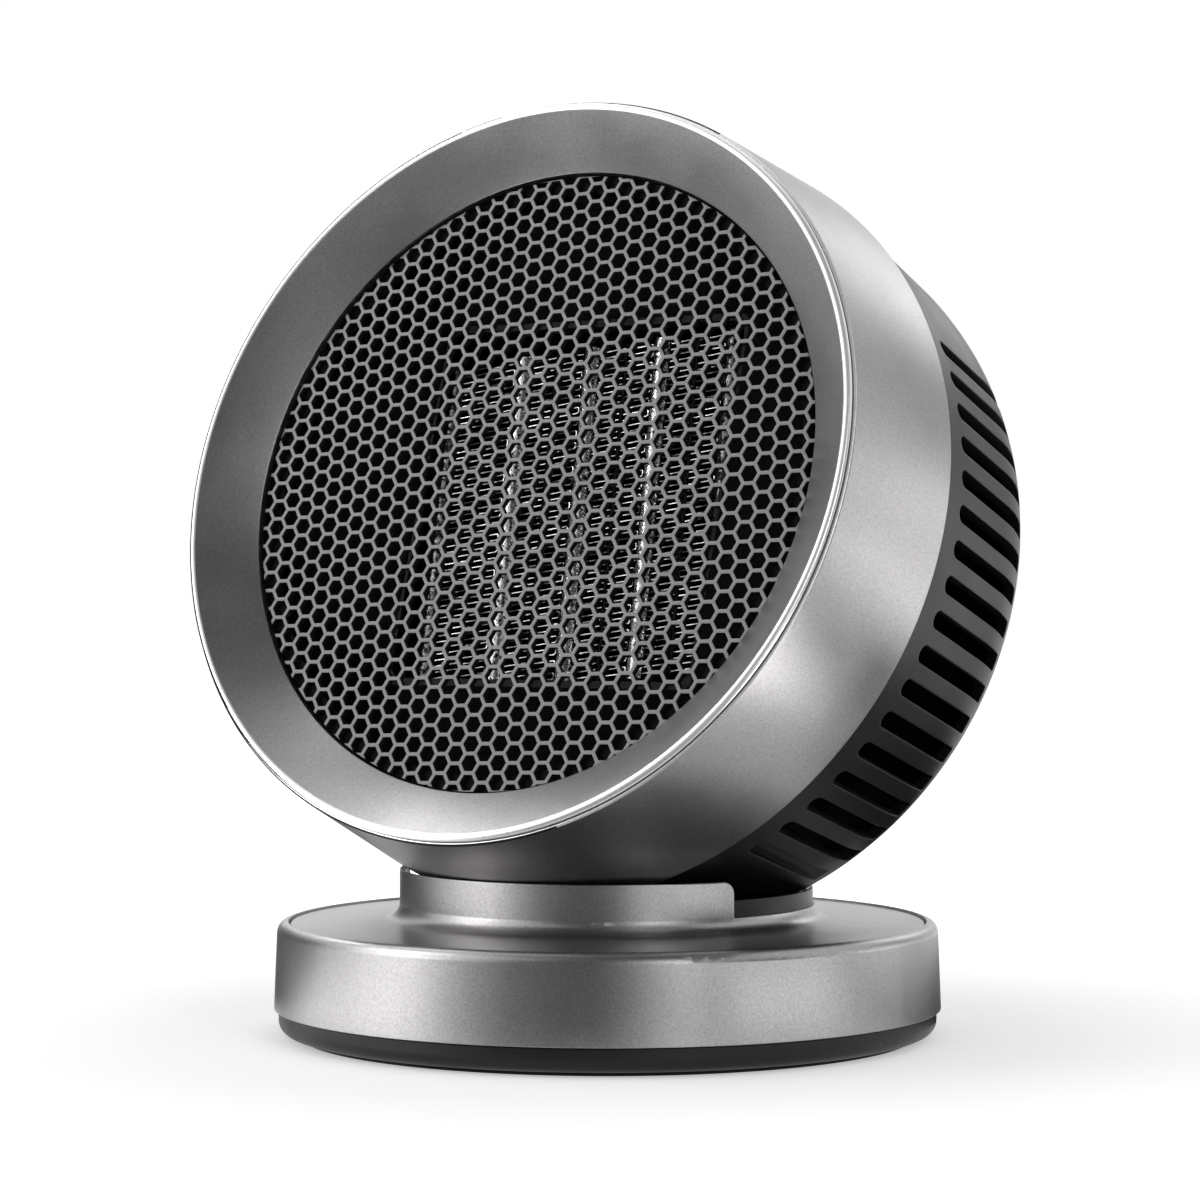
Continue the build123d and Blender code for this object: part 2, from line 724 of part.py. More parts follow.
# Tilt yoke: a half ring hidden in the head, on a neck that stands in the cradle
yoke_foot = (42, 32)
yoke_foot_thick = 2.5
neck_wall = 2.5
neck_bore_depth = 40.0
pad_clear = 4.0
with BuildPart() as tilt_yoke:
    with BuildSketch(Plane.XZ.offset(-yoke_half_width)):
        with Locations((0, tilt_z)):
            Circle(yoke_outer)
            Circle(yoke_inner, mode=Mode.SUBTRACT)
        with Locations((0, tilt_z + 60)):
            Rectangle(220, 120, mode=Mode.SUBTRACT)
    extrude(amount=2 * yoke_half_width)
    for side in (-1, 1):
        pad_plane = Plane(origin=(side * yoke_inner, 0, tilt_z), x_dir=(0, 1, 0), z_dir=(side, 0, 0))
        with BuildSketch(pad_plane):
            Circle(pad_radius)
        extrude(amount=yoke_outer - yoke_inner)
        with BuildSketch(pad_plane):
            Circle(pad_radius)
        extrude(amount=-pad_clear, mode=Mode.SUBTRACT)
    with BuildSketch(Plane.XY.offset(pocket_z)):
        RectangleRounded(*yoke_foot, 5)
    extrude(amount=yoke_foot_thick)
    with BuildSketch(Plane.XY.offset(pocket_z)):
        RectangleRounded(neck_width, neck_depth, 3)
    extrude(amount=tilt_z - yoke_inner - pocket_z - 1.0)
    with BuildSketch(Plane.XY.offset(pocket_z)):
        RectangleRounded(neck_width - 2 * neck_wall, neck_depth - 2 * neck_wall, 2)
    extrude(amount=neck_bore_depth, mode=Mode.SUBTRACT)
    with BuildSketch(Plane(origin=(-120, 0, tilt_z), x_dir=(0, 1, 0), z_dir=(1, 0, 0))):
        Circle(pin_radius + bearing_slack)
    extrude(amount=240, mode=Mode.SUBTRACT)
    with Locations(Plane.XY.offset(pocket_z + yoke_foot_thick)):
        with Locations(*yoke_screw_spots):
            CounterSinkHole(radius=1.6, counter_sink_radius=3.0, depth=5)
save(tilt_yoke.part, "tilt_yoke")

# Yoke screws, flush in the neck's foot
with BuildPart() as yoke_screws:
    with Locations(Plane.XY.offset(pocket_z + yoke_foot_thick)):
        with Locations(*yoke_screw_spots):
            Cone(bottom_radius=screw_radius, top_radius=2.9, height=1.4,
                 align=(Align.CENTER, Align.CENTER, Align.MAX))
    with BuildSketch(Plane.XY.offset(pocket_z - 2.3)):
        with Locations(*yoke_screw_spots):
            Circle(screw_radius)
    extrude(amount=3.6)
save(yoke_screws.part, "yoke_screws")

# Front bezel: sloping rim, rolled lip, skirt inside the band and six posts behind
bezel_angles = (30, 90, 150, 210, 270, 330)
bezel_circle = 92.0
plate_back = 20.0
plate_front = 22.0
flange_front = 24.0
post_radius = 3.5
post_hole_depth = 9.0
lip_edge = 53.2
skirt_outer = 99.8
skirt_inner = 98.0
with BuildPart() as front_bezel:
    with BuildSketch(head_section):
        with BuildLine():
            Line((grille_edge, grille_opening), (bezel_rim, bezel_rim_radius))
            ThreePointArc((bezel_rim, bezel_rim_radius), (lip_crest, 99.6), (lip_edge, lip_radius))
            Polyline((lip_edge, lip_radius), (52.4, lip_radius), (52.4, skirt_outer), (42, skirt_outer),
                     (42, skirt_inner), (50.2, skirt_inner), (41.2, 87), (39, 87), (39, grille_opening),
                     (grille_edge, grille_opening))
        make_face()
    revolve(axis=head_line)
    with BuildSketch(head_face(flange_front)):
        with Locations(*ring_points(bezel_circle, bezel_angles)):
            Circle(post_radius)
    extrude(amount=21)
    with BuildSketch(head_face(flange_front)):
        with Locations(*ring_points(bezel_circle, bezel_angles)):
            Circle(screw_radius)
    extrude(amount=post_hole_depth, mode=Mode.SUBTRACT)
save(front_bezel.part, "front_bezel")

# Head band, the tapered outer ring, with an inner flange clamped behind the bezel's posts
with BuildPart() as head_band:
    with BuildSketch(head_section):
        with BuildLine():
            ThreePointArc((band_front, 100.95), (51.8, 101.42), (51.3, 101.67))
            Polyline((51.3, 101.67), (seam, band_seam_radius), (seam, band_seam_radius - band_wall),
                     (plate_front, 102.67), (plate_front, 88), (flange_front, 88), (flange_front, 102.45),
                     (44, 100.27), (band_front, 100.1), (band_front, 100.95))
        make_face()
    revolve(axis=head_line)
    with BuildSketch(head_face(plate_front)):
        with Locations(*ring_points(bezel_circle, bezel_angles)):
            Circle(1.6)
    extrude(amount=flange_front - plate_front, mode=Mode.SUBTRACT)
save(head_band.part, "head_band")


def clipped_cell(cx, cy, size, limit):
    """A hexagonal cell's corners, cut off where it crosses the clear circle."""
    corners = [(cx + x, cy + y) for x, y in ring_points(size, range(0, 360, 60))]
    kept = []
    for (x1, y1), (x2, y2) in zip(corners, corners[1:] + corners[:1]):
        inside = x1 * x1 + y1 * y1 <= limit * limit
        if inside:
            kept.append((x1, y1))
        if inside != (x2 * x2 + y2 * y2 <= limit * limit):
            a = (x2 - x1) ** 2 + (y2 - y1) ** 2
            b = x1 * (x2 - x1) + y1 * (y2 - y1)
            c = x1 * x1 + y1 * y1 - limit * limit
            root = sqrt(b * b - a * c)
            t = (-b + root) / a if inside else (-b - root) / a
            kept.append((x1 + t * (x2 - x1), y1 + t * (y2 - y1)))
    return kept


def polygon_area(points):
    return abs(sum(x1 * y2 - x2 * y1 for (x1, y1), (x2, y2) in zip(points, points[1:] + points[:1]))) / 2


# Honeycomb grille, its outer cells cut off by the rim
cell_size = cell_hole / sqrt(3)
column_pitch = cell_pitch * sqrt(3) / 2
least_cell = 1.2
cells = []
for column in range(-19, 20):
    for row in range(-17, 18):
        cell_x, cell_y = column * column_pitch, (row + 0.5 * (column % 2)) * cell_pitch
        cell = clipped_cell(cell_x, cell_y, cell_size, grille_clear)
        if len(cell) > 2 and polygon_area(cell) > least_cell:
            cells.append(cell)
grille_plane = head_face(grille_front - grille_thick)
grille_face = Face(
    Wire([Edge.make_circle(grille_radius, plane=grille_plane)]),
    [Wire.make_polygon([grille_plane.from_local_coords(Vector(x, y, 0)) for x, y in cell], close=True)
     for cell in cells])
honeycomb_grille = Solid.extrude(grille_face, head_axis * grille_thick)
save(Part([honeycomb_grille]), "honeycomb_grille")


def near_circle(radius):
    """A circle drawn with the same eight edges as a rounded rectangle, for lofting between them."""
    return RectangleRounded(2 * radius, 2 * radius, radius - 0.05)


# Air duct from the heating element to the grille
duct_screws = ((57, 49), (-57, 49), (57, -49), (-57, -49))
duct_flange = 1.5
duct_mouth = 38.0
duct_wall = 1.5
duct_collar = 85.2
grille_back = grille_front - grille_thick
with BuildPart() as air_duct:
    with BuildSketch(head_face(plate_front)):
        RectangleRounded(96 + 2 * duct_wall, 103 + 2 * duct_wall, 4.5)
    with BuildSketch(head_face(duct_mouth)):
        near_circle(81 + duct_wall)
    loft()
    with BuildSketch(head_face(plate_front)):
        RectangleRounded(120, 113, 8)
    extrude(amount=duct_flange)
    with BuildSketch(head_face(duct_mouth)):
        Circle(duct_collar)
    extrude(amount=grille_back - duct_mouth)
    with BuildSketch(head_face(plate_front)):
        RectangleRounded(96, 103, 3)
    with BuildSketch(head_face(duct_mouth)):
        near_circle(81)
    loft(mode=Mode.SUBTRACT)
    with BuildSketch(head_face(duct_mouth)):
        Circle(80.5)
    extrude(amount=grille_back - duct_mouth, mode=Mode.SUBTRACT)
    with BuildSketch(head_face(plate_front)):
        with Locations(*duct_screws):
            Circle(screw_radius)
    extrude(amount=duct_flange, mode=Mode.SUBTRACT)
save(air_duct.part, "air_duct")

# Mid plate, the pressed steel disc the head is built on
bracket_screw_spots = ((78, 11.5), (78, -11.5), (-78, 11.5), (-78, -11.5))
leg_spots = ((68, 26.5), (-68, 26.5), (68, -26.5), (-68, -26.5))
mid_plate_radius = 102.2
with BuildPart() as mid_plate:
    with BuildSketch(head_face(plate_back)):
        Circle(mid_plate_radius)
        RectangleRounded(94, 99, 4, mode=Mode.SUBTRACT)
        with Locations(*ring_points(bezel_circle, bezel_angles)):
            Circle(screw_radius, mode=Mode.SUBTRACT)
        with Locations(*duct_screws, *leg_spots, *bracket_screw_spots):
            Circle(screw_radius, mode=Mode.SUBTRACT)
    extrude(amount=plate_front - plate_back)
save(mid_plate.part, "mid_plate")


pan_radius = 2.6
pan_thick = 1.4
pan_shank = 12.0


def pan_screws(forward, spots, direction):
    """Pan-head screws standing on a face at a distance forward, their shanks going one way."""
    with BuildPart(mode=Mode.PRIVATE) as screws:
        with BuildSketch(head_face(forward)):
            with Locations(*spots):
                Circle(pan_radius)
        extrude(amount=-pan_thick * direction)
        with BuildSketch(head_face(forward)):
            with Locations(*spots):
                Circle(screw_radius)
        extrude(amount=pan_shank * direction)
    return screws.part


# Plate screws: six into the bezel, four into the fan shroud's legs and four through the duct
with BuildPart() as plate_screws:
    add(pan_screws(plate_back, ring_points(bezel_circle, bezel_angles), 1))
    add(pan_screws(plate_front, leg_spots, -1))
    add(pan_screws(plate_front + duct_flange, duct_screws, -1))
save(plate_screws.part, "plate_screws")

# Heater frame around the element
frame_back = 3.0
with BuildPart() as heater_frame:
    with BuildSketch(head_face(frame_back)):
        RectangleRounded(core_window_w + 2 * frame_wall, core_window_h + 2 * frame_wall, 4)
        Rectangle(core_window_w, core_window_h, mode=Mode.SUBTRACT)
    extrude(amount=plate_back - frame_back)
save(heater_frame.part, "heater_frame")

# Heater bars, five round-nosed aluminium tubes that hold the ceramic stones
bar_foot = tilt_centre + head_axis * (core_front - core_depth / 2) - head_up * (core_window_h / 2)
bar_plane = Plane(origin=bar_foot, x_dir=(1, 0, 0), z_dir=head_up)
bar_round = 2.3
for number in range(bar_count):
    bar_x = (number - (bar_count - 1) / 2) * bar_pitch
    with BuildPart() as heater_bar:
        with BuildSketch(bar_plane):
            with Locations((bar_x, 0)):
                RectangleRounded(bar_width, core_depth, bar_round)
        extrude(amount=core_window_h)
    save(heater_bar.part, "heater_bar_" + str(number + 1))


def fin_ribbon(x_from, x_to, height):
    """A folded strip's outline, zigzagging up between two walls, its folds pressed flat."""
    count = int(height / fin_step)
    fold = fin_thick / 2
    lean = fold * (x_to - x_from) / fin_step
    left, right = [], []
    for k in range(count + 1):
        y = (k - count / 2) * fin_step
        if k % 2 == 0:
            left += [(x_from, y - fold), (x_from, y + fold)]
            right += [(x_from + lean, y)]
        else:
            left += [(x_to - lean, y)]
            right += [(x_to, y - fold), (x_to, y + fold)]
    return right + left[::-1]


# Fin packs between the bars, each a centre plate with a folded strip on either side
fin_depth = 12.0
fin_front = core_front - 1.0
for number in range(bar_count - 1):
    middle = (number - (bar_count - 2) / 2) * bar_pitch
    reach = (bar_pitch - bar_width) / 2 - 0.05
    with BuildPart() as fin_pack:
        with BuildSketch(head_face(fin_front - fin_depth)):
            with Locations((middle, 0)):
                Rectangle(0.6, core_height)
            Polygon(*fin_ribbon(middle - reach, middle - 0.15, core_height - 1), align=None)
            Polygon(*fin_ribbon(middle + 0.15, middle + reach, core_height - 1), align=None)
        extrude(amount=fin_depth)
    save(fin_pack.part, "fin_pack_" + str(number + 1))

# Thermal cut-out on top of the heater frame
cutout_foot = tilt_centre + head_axis * 11.5 + head_up * (core_window_h / 2 + frame_wall)
cutout_plane = Plane(origin=cutout_foot, x_dir=(1, 0, 0), z_dir=head_up)
with BuildPart() as thermal_cutout:
    with BuildSketch(cutout_plane):
        RectangleRounded(24, 10, 3)
    extrude(amount=1.0)
    with BuildSketch(cutout_plane.offset(1.0)):
        Circle(7)
    extrude(amount=6)
    with BuildSketch(cutout_plane.offset(7.0)):
        with Locations((-3.5, 0), (3.5, 0)):
            Rectangle(0.8, 5)
    extrude(amount=7)
save(thermal_cutout.part, "thermal_cutout")

# Fan shroud: throat, four legs to the mid plate and the arms that carry the motor
column_spots = ((37, 37), (-37, 37), (37, -37), (-37, -37))
motor_screw_spots = ((14, 0), (-14, 0))
throat_front = -10.0
throat_step = 0.8
leg_radius = 4.0
leg_back = -20.0
arm_middle = 45.0
arm_length = 50.5
arm_width = 6.0
with BuildPart() as fan_shroud:
    with BuildSketch(head_face(throat_front)):
        near_circle(shroud_radius + shroud_wall - throat_step)
    with BuildSketch(head_face(frame_back)):
        RectangleRounded(core_window_w + 2 * frame_wall, core_window_h + 2 * frame_wall, 4)
    loft()
    with BuildSketch(head_face(shroud_back - arm_thick)):
        Circle(shroud_radius + shroud_wall)
    extrude(amount=throat_front - shroud_back + arm_thick)
    with BuildSketch(head_face(leg_back)):
        with Locations(*leg_spots):
            Circle(leg_radius)
    extrude(amount=plate_back - leg_back)
    with BuildSketch(head_face(throat_front)):
        near_circle(shroud_radius - throat_step)
    with BuildSketch(head_face(frame_back)):
        RectangleRounded(core_window_w, core_window_h, 2)
    loft(mode=Mode.SUBTRACT)
    with BuildSketch(head_face(shroud_back - arm_thick)):
        Circle(shroud_radius)
    extrude(amount=throat_front - shroud_back + arm_thick, mode=Mode.SUBTRACT)
    with BuildSketch(head_face(shroud_back - arm_thick)):
        Circle(24)
        for angle in shell_angles:
            spot = (arm_middle * cos(radians(angle)), arm_middle * sin(radians(angle)))
            with Locations(Location(spot, angle)):
                Rectangle(arm_length, arm_width)
        with Locations(*column_spots):
            Circle(4.5)
    extrude(amount=arm_thick)
    with BuildSketch(head_face(shroud_back)):
        with Locations(*column_spots):
            Circle(4)
    extrude(amount=1.8)
    with BuildSketch(head_face(shroud_back - arm_thick)):
        Circle(8.5)
        with Locations(*motor_screw_spots):
            Circle(screw_radius)
    extrude(amount=arm_thick, mode=Mode.SUBTRACT)
    with BuildSketch(head_face(shroud_back - arm_thick)):
        with Locations(*column_spots):
            Circle(screw_radius)
    extrude(amount=arm_thick + 0.8, mode=Mode.SUBTRACT)
    with BuildSketch(head_face(plate_back)):
        with Locations(*leg_spots):
            Circle(screw_radius)
    extrude(amount=-11, mode=Mode.SUBTRACT)
save(fan_shroud.part, "fan_shroud")

# Fan motor behind the arms
motor_face = shroud_back - arm_thick
with BuildPart() as fan_motor:
    with BuildSketch(head_face(motor_back)):
        Circle(motor_radius)
    extrude(amount=motor_face - motor_back)
    fillet(fan_motor.edges(), 1.5)
    with BuildSketch(head_face(motor_back)):
        Circle(6)
    extrude(amount=-2.5)
    with BuildSketch(head_face(motor_face)):
        Circle(6.5)
    extrude(amount=2.5)
    with BuildSketch(head_face(motor_back + 1)):
        Circle(shaft_radius + bearing_slack)
    extrude(amount=40, mode=Mode.SUBTRACT)
    with BuildSketch(head_face(motor_face)):
        with Locations(*motor_screw_spots):
            Circle(screw_radius)
    extrude(amount=-7, mode=Mode.SUBTRACT)
save(fan_motor.part, "fan_motor")
with BuildPart() as fan_motor_screws:
    with BuildSketch(head_face(shroud_back)):
        with Locations(*motor_screw_spots):
            Circle(2.5)
    extrude(amount=1.2)
    with BuildSketch(head_face(shroud_back)):
        with Locations(*motor_screw_spots):
            Circle(screw_radius)
    extrude(amount=-10)
save(fan_motor_screws.part, "fan_motor_screws")

# Fan impeller: a cupped hub with seven twisted blades
fan_middle = fan_front - fan_depth / 2
blade_root, blade_tip = 18.6, 64.0
with BuildPart() as fan_impeller:
    with BuildSketch(head_face(fan_front - fan_depth)):
        Circle(fan_hub_radius)
    extrude(amount=fan_depth)
    fillet(fan_impeller.faces().sort_by(head_line)[-1].edges(), 2.5)
    with BuildSketch(head_face(fan_front - fan_depth)):
        Circle(fan_hub_radius - 2.5)
        Circle(5, mode=Mode.SUBTRACT)
    extrude(amount=fan_depth - 3, mode=Mode.SUBTRACT)
    for blade in range(blade_count):
        turn = radians(360.0 * blade / blade_count)
        outward = Vector(1, 0, 0) * cos(turn) + head_up * sin(turn)
        blade_middle = tilt_centre + head_axis * fan_middle
        hub_end = Plane(origin=blade_middle + outward * blade_root, x_dir=head_axis, z_dir=outward)
        tip_end = Plane(origin=blade_middle + outward * blade_tip, x_dir=head_axis, z_dir=outward)
        with BuildSketch(hub_end):
            Rectangle(15, 2.0, rotation=45)
        with BuildSketch(tip_end):
            Rectangle(33, 1.5, rotation=66)
        loft()
    with BuildSketch(head_face(fan_front - fan_depth - 1)):
        Circle(shaft_radius)
    extrude(amount=fan_depth + 2, mode=Mode.SUBTRACT)
save(fan_impeller.part, "fan_impeller")
with BuildPart() as fan_shaft:
    with BuildSketch(head_face(motor_back + 2)):
        Circle(shaft_radius)
    extrude(amount=fan_front + 1.5 - motor_back - 2)
save(fan_shaft.part, "fan_shaft")

# Pivot brackets: steel angles from the mid plate back to the tilt axis
bracket_toe = 70.0
bracket_thick = 3.0


def pivot_plane(side, distance):
    """A plane square to the tilt axis, facing outward on one side of the head."""
    return Plane(origin=tilt_centre + Vector(side * distance, 0, 0), x_dir=head_axis, z_dir=(side, 0, 0))


for side, name in ((-1, "right"), (1, "left")):
    with BuildPart() as pivot_bracket:
        with BuildSketch(pivot_plane(side, bracket_inner)):
            Circle(pad_radius)
            with Locations((plate_back / 2, 0)):
                Rectangle(plate_back, 2 * pad_radius)
            Circle(pin_radius, mode=Mode.SUBTRACT)
        extrude(amount=bracket_outer - bracket_inner)
        with BuildSketch(head_face(plate_back)):
            with Locations((side * (bracket_outer + bracket_toe) / 2, 0)):
                RectangleRounded(bracket_outer - bracket_toe, 33, 2)
            with Locations(*bracket_screw_spots):
                Circle(screw_radius, mode=Mode.SUBTRACT)
        extrude(amount=-bracket_thick)
    save(pivot_bracket.part, "pivot_bracket_" + name)

# Bracket screws
with BuildPart() as bracket_screws:
    with BuildSketch(head_face(plate_back - bracket_thick)):
        with Locations(*bracket_screw_spots):
            Circle(2.8)
    extrude(amount=-1.6)
    with BuildSketch(head_face(plate_back - bracket_thick)):
        with Locations(*bracket_screw_spots):
            Circle(screw_radius)
    extrude(amount=6)
save(bracket_screws.part, "bracket_screws")

# Pivot pins, friction washers and flanged nuts, one of each at either end of the tilt axis
pin_head_radius = 7.0
pin_head_thick = 2.5
pin_length = 14.3
nut_flange_radius = 8.0
nut_flange_thick = 1.3
nut_half_width = 6.5
nut_thick = 3.8
with BuildPart() as pivot_pins:
    for side in (-1, 1):
        with BuildSketch(pivot_plane(side, bracket_inner - pin_head_thick)):
            Circle(pin_head_radius)
        extrude(amount=pin_head_thick)
        with BuildSketch(pivot_plane(side, bracket_inner)):
            Circle(pin_radius)
        extrude(amount=pin_length)
save(pivot_pins.part, "pivot_pins")
with BuildPart() as friction_washers:
    for side in (-1, 1):
        with BuildSketch(pivot_plane(side, bracket_outer)):
            Circle(9)
            Circle(pin_radius, mode=Mode.SUBTRACT)
        extrude(amount=yoke_inner - bracket_outer - slack)
save(friction_washers.part, "friction_washers")
with BuildPart() as pivot_nuts:
    for side in (-1, 1):
        with BuildSketch(pivot_plane(side, yoke_outer + slack)):
            Circle(nut_flange_radius)
            Circle(pin_radius, mode=Mode.SUBTRACT)
        extrude(amount=nut_flange_thick)
        with BuildSketch(pivot_plane(side, yoke_outer + slack + nut_flange_thick)):
            RegularPolygon(nut_half_width / cos(radians(30)), 6)
            Circle(pin_radius, mode=Mode.SUBTRACT)
        extrude(amount=nut_thick)
save(pivot_nuts.part, "pivot_nuts")

# Rear dome, with the screw columns, the air slots, the slot for the neck and the control recess
inner_arc = dome_arc - dome_wall
turn_in = dome_flat + inner_arc
panel_back = panel_face + dome_wall
half = sqrt(0.5)
slot_corner = 1.2
slot_flat = slot_width / 2 - slot_corner


def slot_planes(elevations, radius):
    """Planes facing outward at each slot, on both sides of the head, with X along the head."""
    planes = []
    for side in (-1, 1):
        for elevation in elevations:
            outward = Vector(side, 0, 0) * cos(radians(elevation)) + head_up * sin(radians(elevation))
            planes.append(Plane(origin=tilt_centre + outward * radius, x_dir=head_axis, z_dir=outward))
    return planes


def slot_outline():
    """One air slot: round at the front, tight corners at the back."""
    with BuildSketch(mode=Mode.PRIVATE) as outline:
        with BuildLine():
            front = slot_front - slot_width / 2
            rear = slot_rear + slot_corner
            bow = slot_corner * half
            Line((front, slot_width / 2), (rear, slot_width / 2))
            ThreePointArc((rear, slot_width / 2), (rear - bow, slot_flat + bow), (slot_rear, slot_flat))
            Line((slot_rear, slot_flat), (slot_rear, -slot_flat))
            ThreePointArc((slot_rear, -slot_flat), (rear - bow, -slot_flat - bow), (rear, -slot_width / 2))
            Line((rear, -slot_width / 2), (front, -slot_width / 2))
            ThreePointArc((front, -slot_width / 2), (slot_front, 0), (front, slot_width / 2))
        make_face()
    return outline.sketch


neck_margin = 4.7
neck_half_width = 14.5
neck_angles = (rest_tilt - neck_margin, rest_tilt + tilt_travel + neck_margin)
neck_outline = [(-reach * sin(radians(angle)), -reach * cos(radians(angle)))
                for reach, angle in ((95, neck_angles[0]), (130, neck_angles[0]),
                                     (130, neck_angles[1]), (95, neck_angles[1]))]
dome_spigot = 103.2
dome_spigot_front = 13.0
blind_slot_floor = 102.4
slot_start = 62.0
elevations = [slot_first - slot_step * k for k in range(slots_per_side)]
with BuildPart() as rear_dome:
    with BuildSketch(head_section):
        with BuildLine():
            Polyline((dome_spigot_front, 101.4), (dome_spigot_front, dome_spigot), (dome_front, dome_spigot),
                     (dome_front, dome_radius), (dome_turn, dome_turn_radius))
            ThreePointArc((dome_turn, dome_turn_radius),
                          (dome_turn - dome_arc * half, dome_flat + dome_arc * half),
                          (dome_back, dome_flat))
            Polyline((dome_back, dome_flat), (dome_back, panel_radius + 0.8),
                     (dome_back + 0.8, panel_radius),
                     (panel_face, panel_radius), (panel_face, 0), (panel_back, 0),
                     (panel_back, panel_radius + dome_wall),
                     (dome_back + dome_wall, panel_radius + dome_wall),
                     (dome_back + dome_wall, dome_flat))
            ThreePointArc((dome_back + dome_wall, dome_flat),
                          (dome_turn - inner_arc * half, dome_flat + inner_arc * half),
                          (dome_turn, turn_in))
            Line((dome_turn, turn_in), (dome_spigot_front, 101.4))
        make_face()
    revolve(axis=head_line)
    with BuildSketch(head_face(dome_back + dome_wall - 1)):
        with Locations(*column_spots):
            Circle(4.5)
    extrude(amount=motor_face - dome_back - dome_wall + 0.9)
    with BuildSketch(head_face(dome_back)):
        with Locations(*column_spots):
            Circle(1.7)
    extrude(amount=60, mode=Mode.SUBTRACT)
    with BuildSketch(head_face(dome_back)):
        with Locations(*column_spots):
            Circle(3.3)
    extrude(amount=1.8, mode=Mode.SUBTRACT)
    with BuildSketch(head_face(panel_face)):
        with Locations((knob_offset, 0), (-knob_offset, 0)):
            Circle(3.4)
        with Locations((0, button_offset)):
            Circle(button_radius + 0.2)
        with Locations((0, -button_offset)):
            Circle(4)
    extrude(amount=dome_wall, mode=Mode.SUBTRACT)
    with BuildSketch(*slot_planes(elevations[:-1], slot_start)):
        add(slot_outline())
    extrude(amount=50, mode=Mode.SUBTRACT)
    with BuildSketch(*slot_planes(elevations[-1:], blind_slot_floor)):
        add(slot_outline())
    extrude(amount=8, mode=Mode.SUBTRACT)
    with BuildSketch(head_section):
        with BuildLine():
            Polyline(*neck_outline, close=True)
        make_face()
    extrude(amount=neck_half_width, both=True, mode=Mode.SUBTRACT)
save(rear_dome.part, "rear_dome")

# Dome screws, long ones through the columns into the shroud's arms
with BuildPart() as dome_screws:
    with BuildSketch(head_face(dome_back + 0.3)):
        with Locations(*column_spots):
            Circle(2.8)
    extrude(amount=1.5)
    with BuildSketch(head_face(dome_back + 1.8)):
        with Locations(*column_spots):
            Circle(1.5)
    extrude(amount=motor_face + arm_thick + 0.5 - dome_back - 1.8)
save(dome_screws.part, "dome_screws")

# Mode switch and thermostat behind the panel, each with the bore its knob turns in
stem_radius = 3.0
switch_depth = 10.0
tab_size = (0.8, 4.8)
for name, centre, tabs in (("mode_switch", -knob_offset, 3), ("thermostat", knob_offset, 2)):
    with BuildPart() as rotary_switch:
        with BuildSketch(head_face(panel_back)):
            with Locations((centre, 0)):
                RectangleRounded(21, 21, 5)
        extrude(amount=switch_depth)
        with BuildSketch(head_face(panel_back + switch_depth)):
            for tab in range(tabs):
                with Locations((centre + (tab - (tabs - 1) / 2) * 6, 6)):
                    Rectangle(*tab_size)
        extrude(amount=2.5)
        with BuildSketch(head_face(panel_back)):
            with Locations((centre, 0)):
                Circle(stem_radius + bearing_slack)
        extrude(amount=9, mode=Mode.SUBTRACT)
    save(rotary_switch.part, name)

# Swing switch behind its push button
with BuildPart() as swing_switch:
    with BuildSketch(head_face(panel_back)):
        with Locations((0, button_offset)):
            RectangleRounded(15, 13, 1.5)
    extrude(amount=11)
    with BuildSketch(head_face(panel_back)):
        with Locations((0, button_offset)):
            Circle(stem_radius + bearing_slack)
    extrude(amount=10, mode=Mode.SUBTRACT)
save(swing_switch.part, "swing_switch")

# Knobs: a skirted disc with a raised grip bar and a pointer groove
knob_back = panel_face - 0.4
skirt_thick = 3.4
grip_size = (26, 7)
grip_height = 9.6
pointer_size = (1.2, 6)
pointer_depth = 0.6
stem_length = 11.5
for name, centre in (("mode_knob", -knob_offset), ("thermostat_knob", knob_offset)):
    with BuildPart() as knob:
        with BuildSketch(head_face(knob_back)):
            with Locations((centre, 0)):
                Circle(knob_radius)
        extrude(amount=-skirt_thick)
        fillet(knob.faces().sort_by(head_line)[0].edges(), 1.0)
        with BuildSketch(head_face(knob_back - 3.0)):
            with Locations((centre, 0)):
                SlotOverall(*grip_size, rotation=90)
        extrude(amount=3.0 - grip_height)
        fillet(knob.faces().sort_by(head_line)[0].edges(), 1.2)
        with BuildSketch(head_face(knob_back - grip_height)):
            with Locations((centre, 8.5)):
                Rectangle(*pointer_size)
        extrude(amount=pointer_depth, mode=Mode.SUBTRACT)
        with BuildSketch(head_face(knob_back)):
            with Locations((centre, 0)):
                Circle(stem_radius)
        extrude(amount=stem_length)
    save(knob.part, name)

# Swing button
button_back = panel_back - 1.9
with BuildPart() as swing_button:
    with BuildSketch(head_face(button_back)):
        with Locations((0, button_offset)):
            Circle(button_radius)
    extrude(amount=-4.3)
    fillet(swing_button.faces().sort_by(head_line)[0].edges(), 0.8)
    with BuildSketch(head_face(button_back)):
        with Locations((0, button_offset)):
            Circle(stem_radius)
    extrude(amount=9.5)
save(swing_button.part, "swing_button")

# Pilot lamp lens
with BuildPart() as pilot_lamp:
    with BuildSketch(head_face(panel_face)):
        with Locations((0, -button_offset)):
            Circle(5)
    extrude(amount=-1.6)
    fillet(pilot_lamp.faces().sort_by(head_line)[0].edges(), 0.9)
    with BuildSketch(head_face(panel_face)):
        with Locations((0, -button_offset)):
            Circle(4)
    extrude(amount=9)
save(pilot_lamp.part, "pilot_lamp")
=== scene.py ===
import json
import math

import bmesh
import bpy
from mathutils import Matrix, Vector


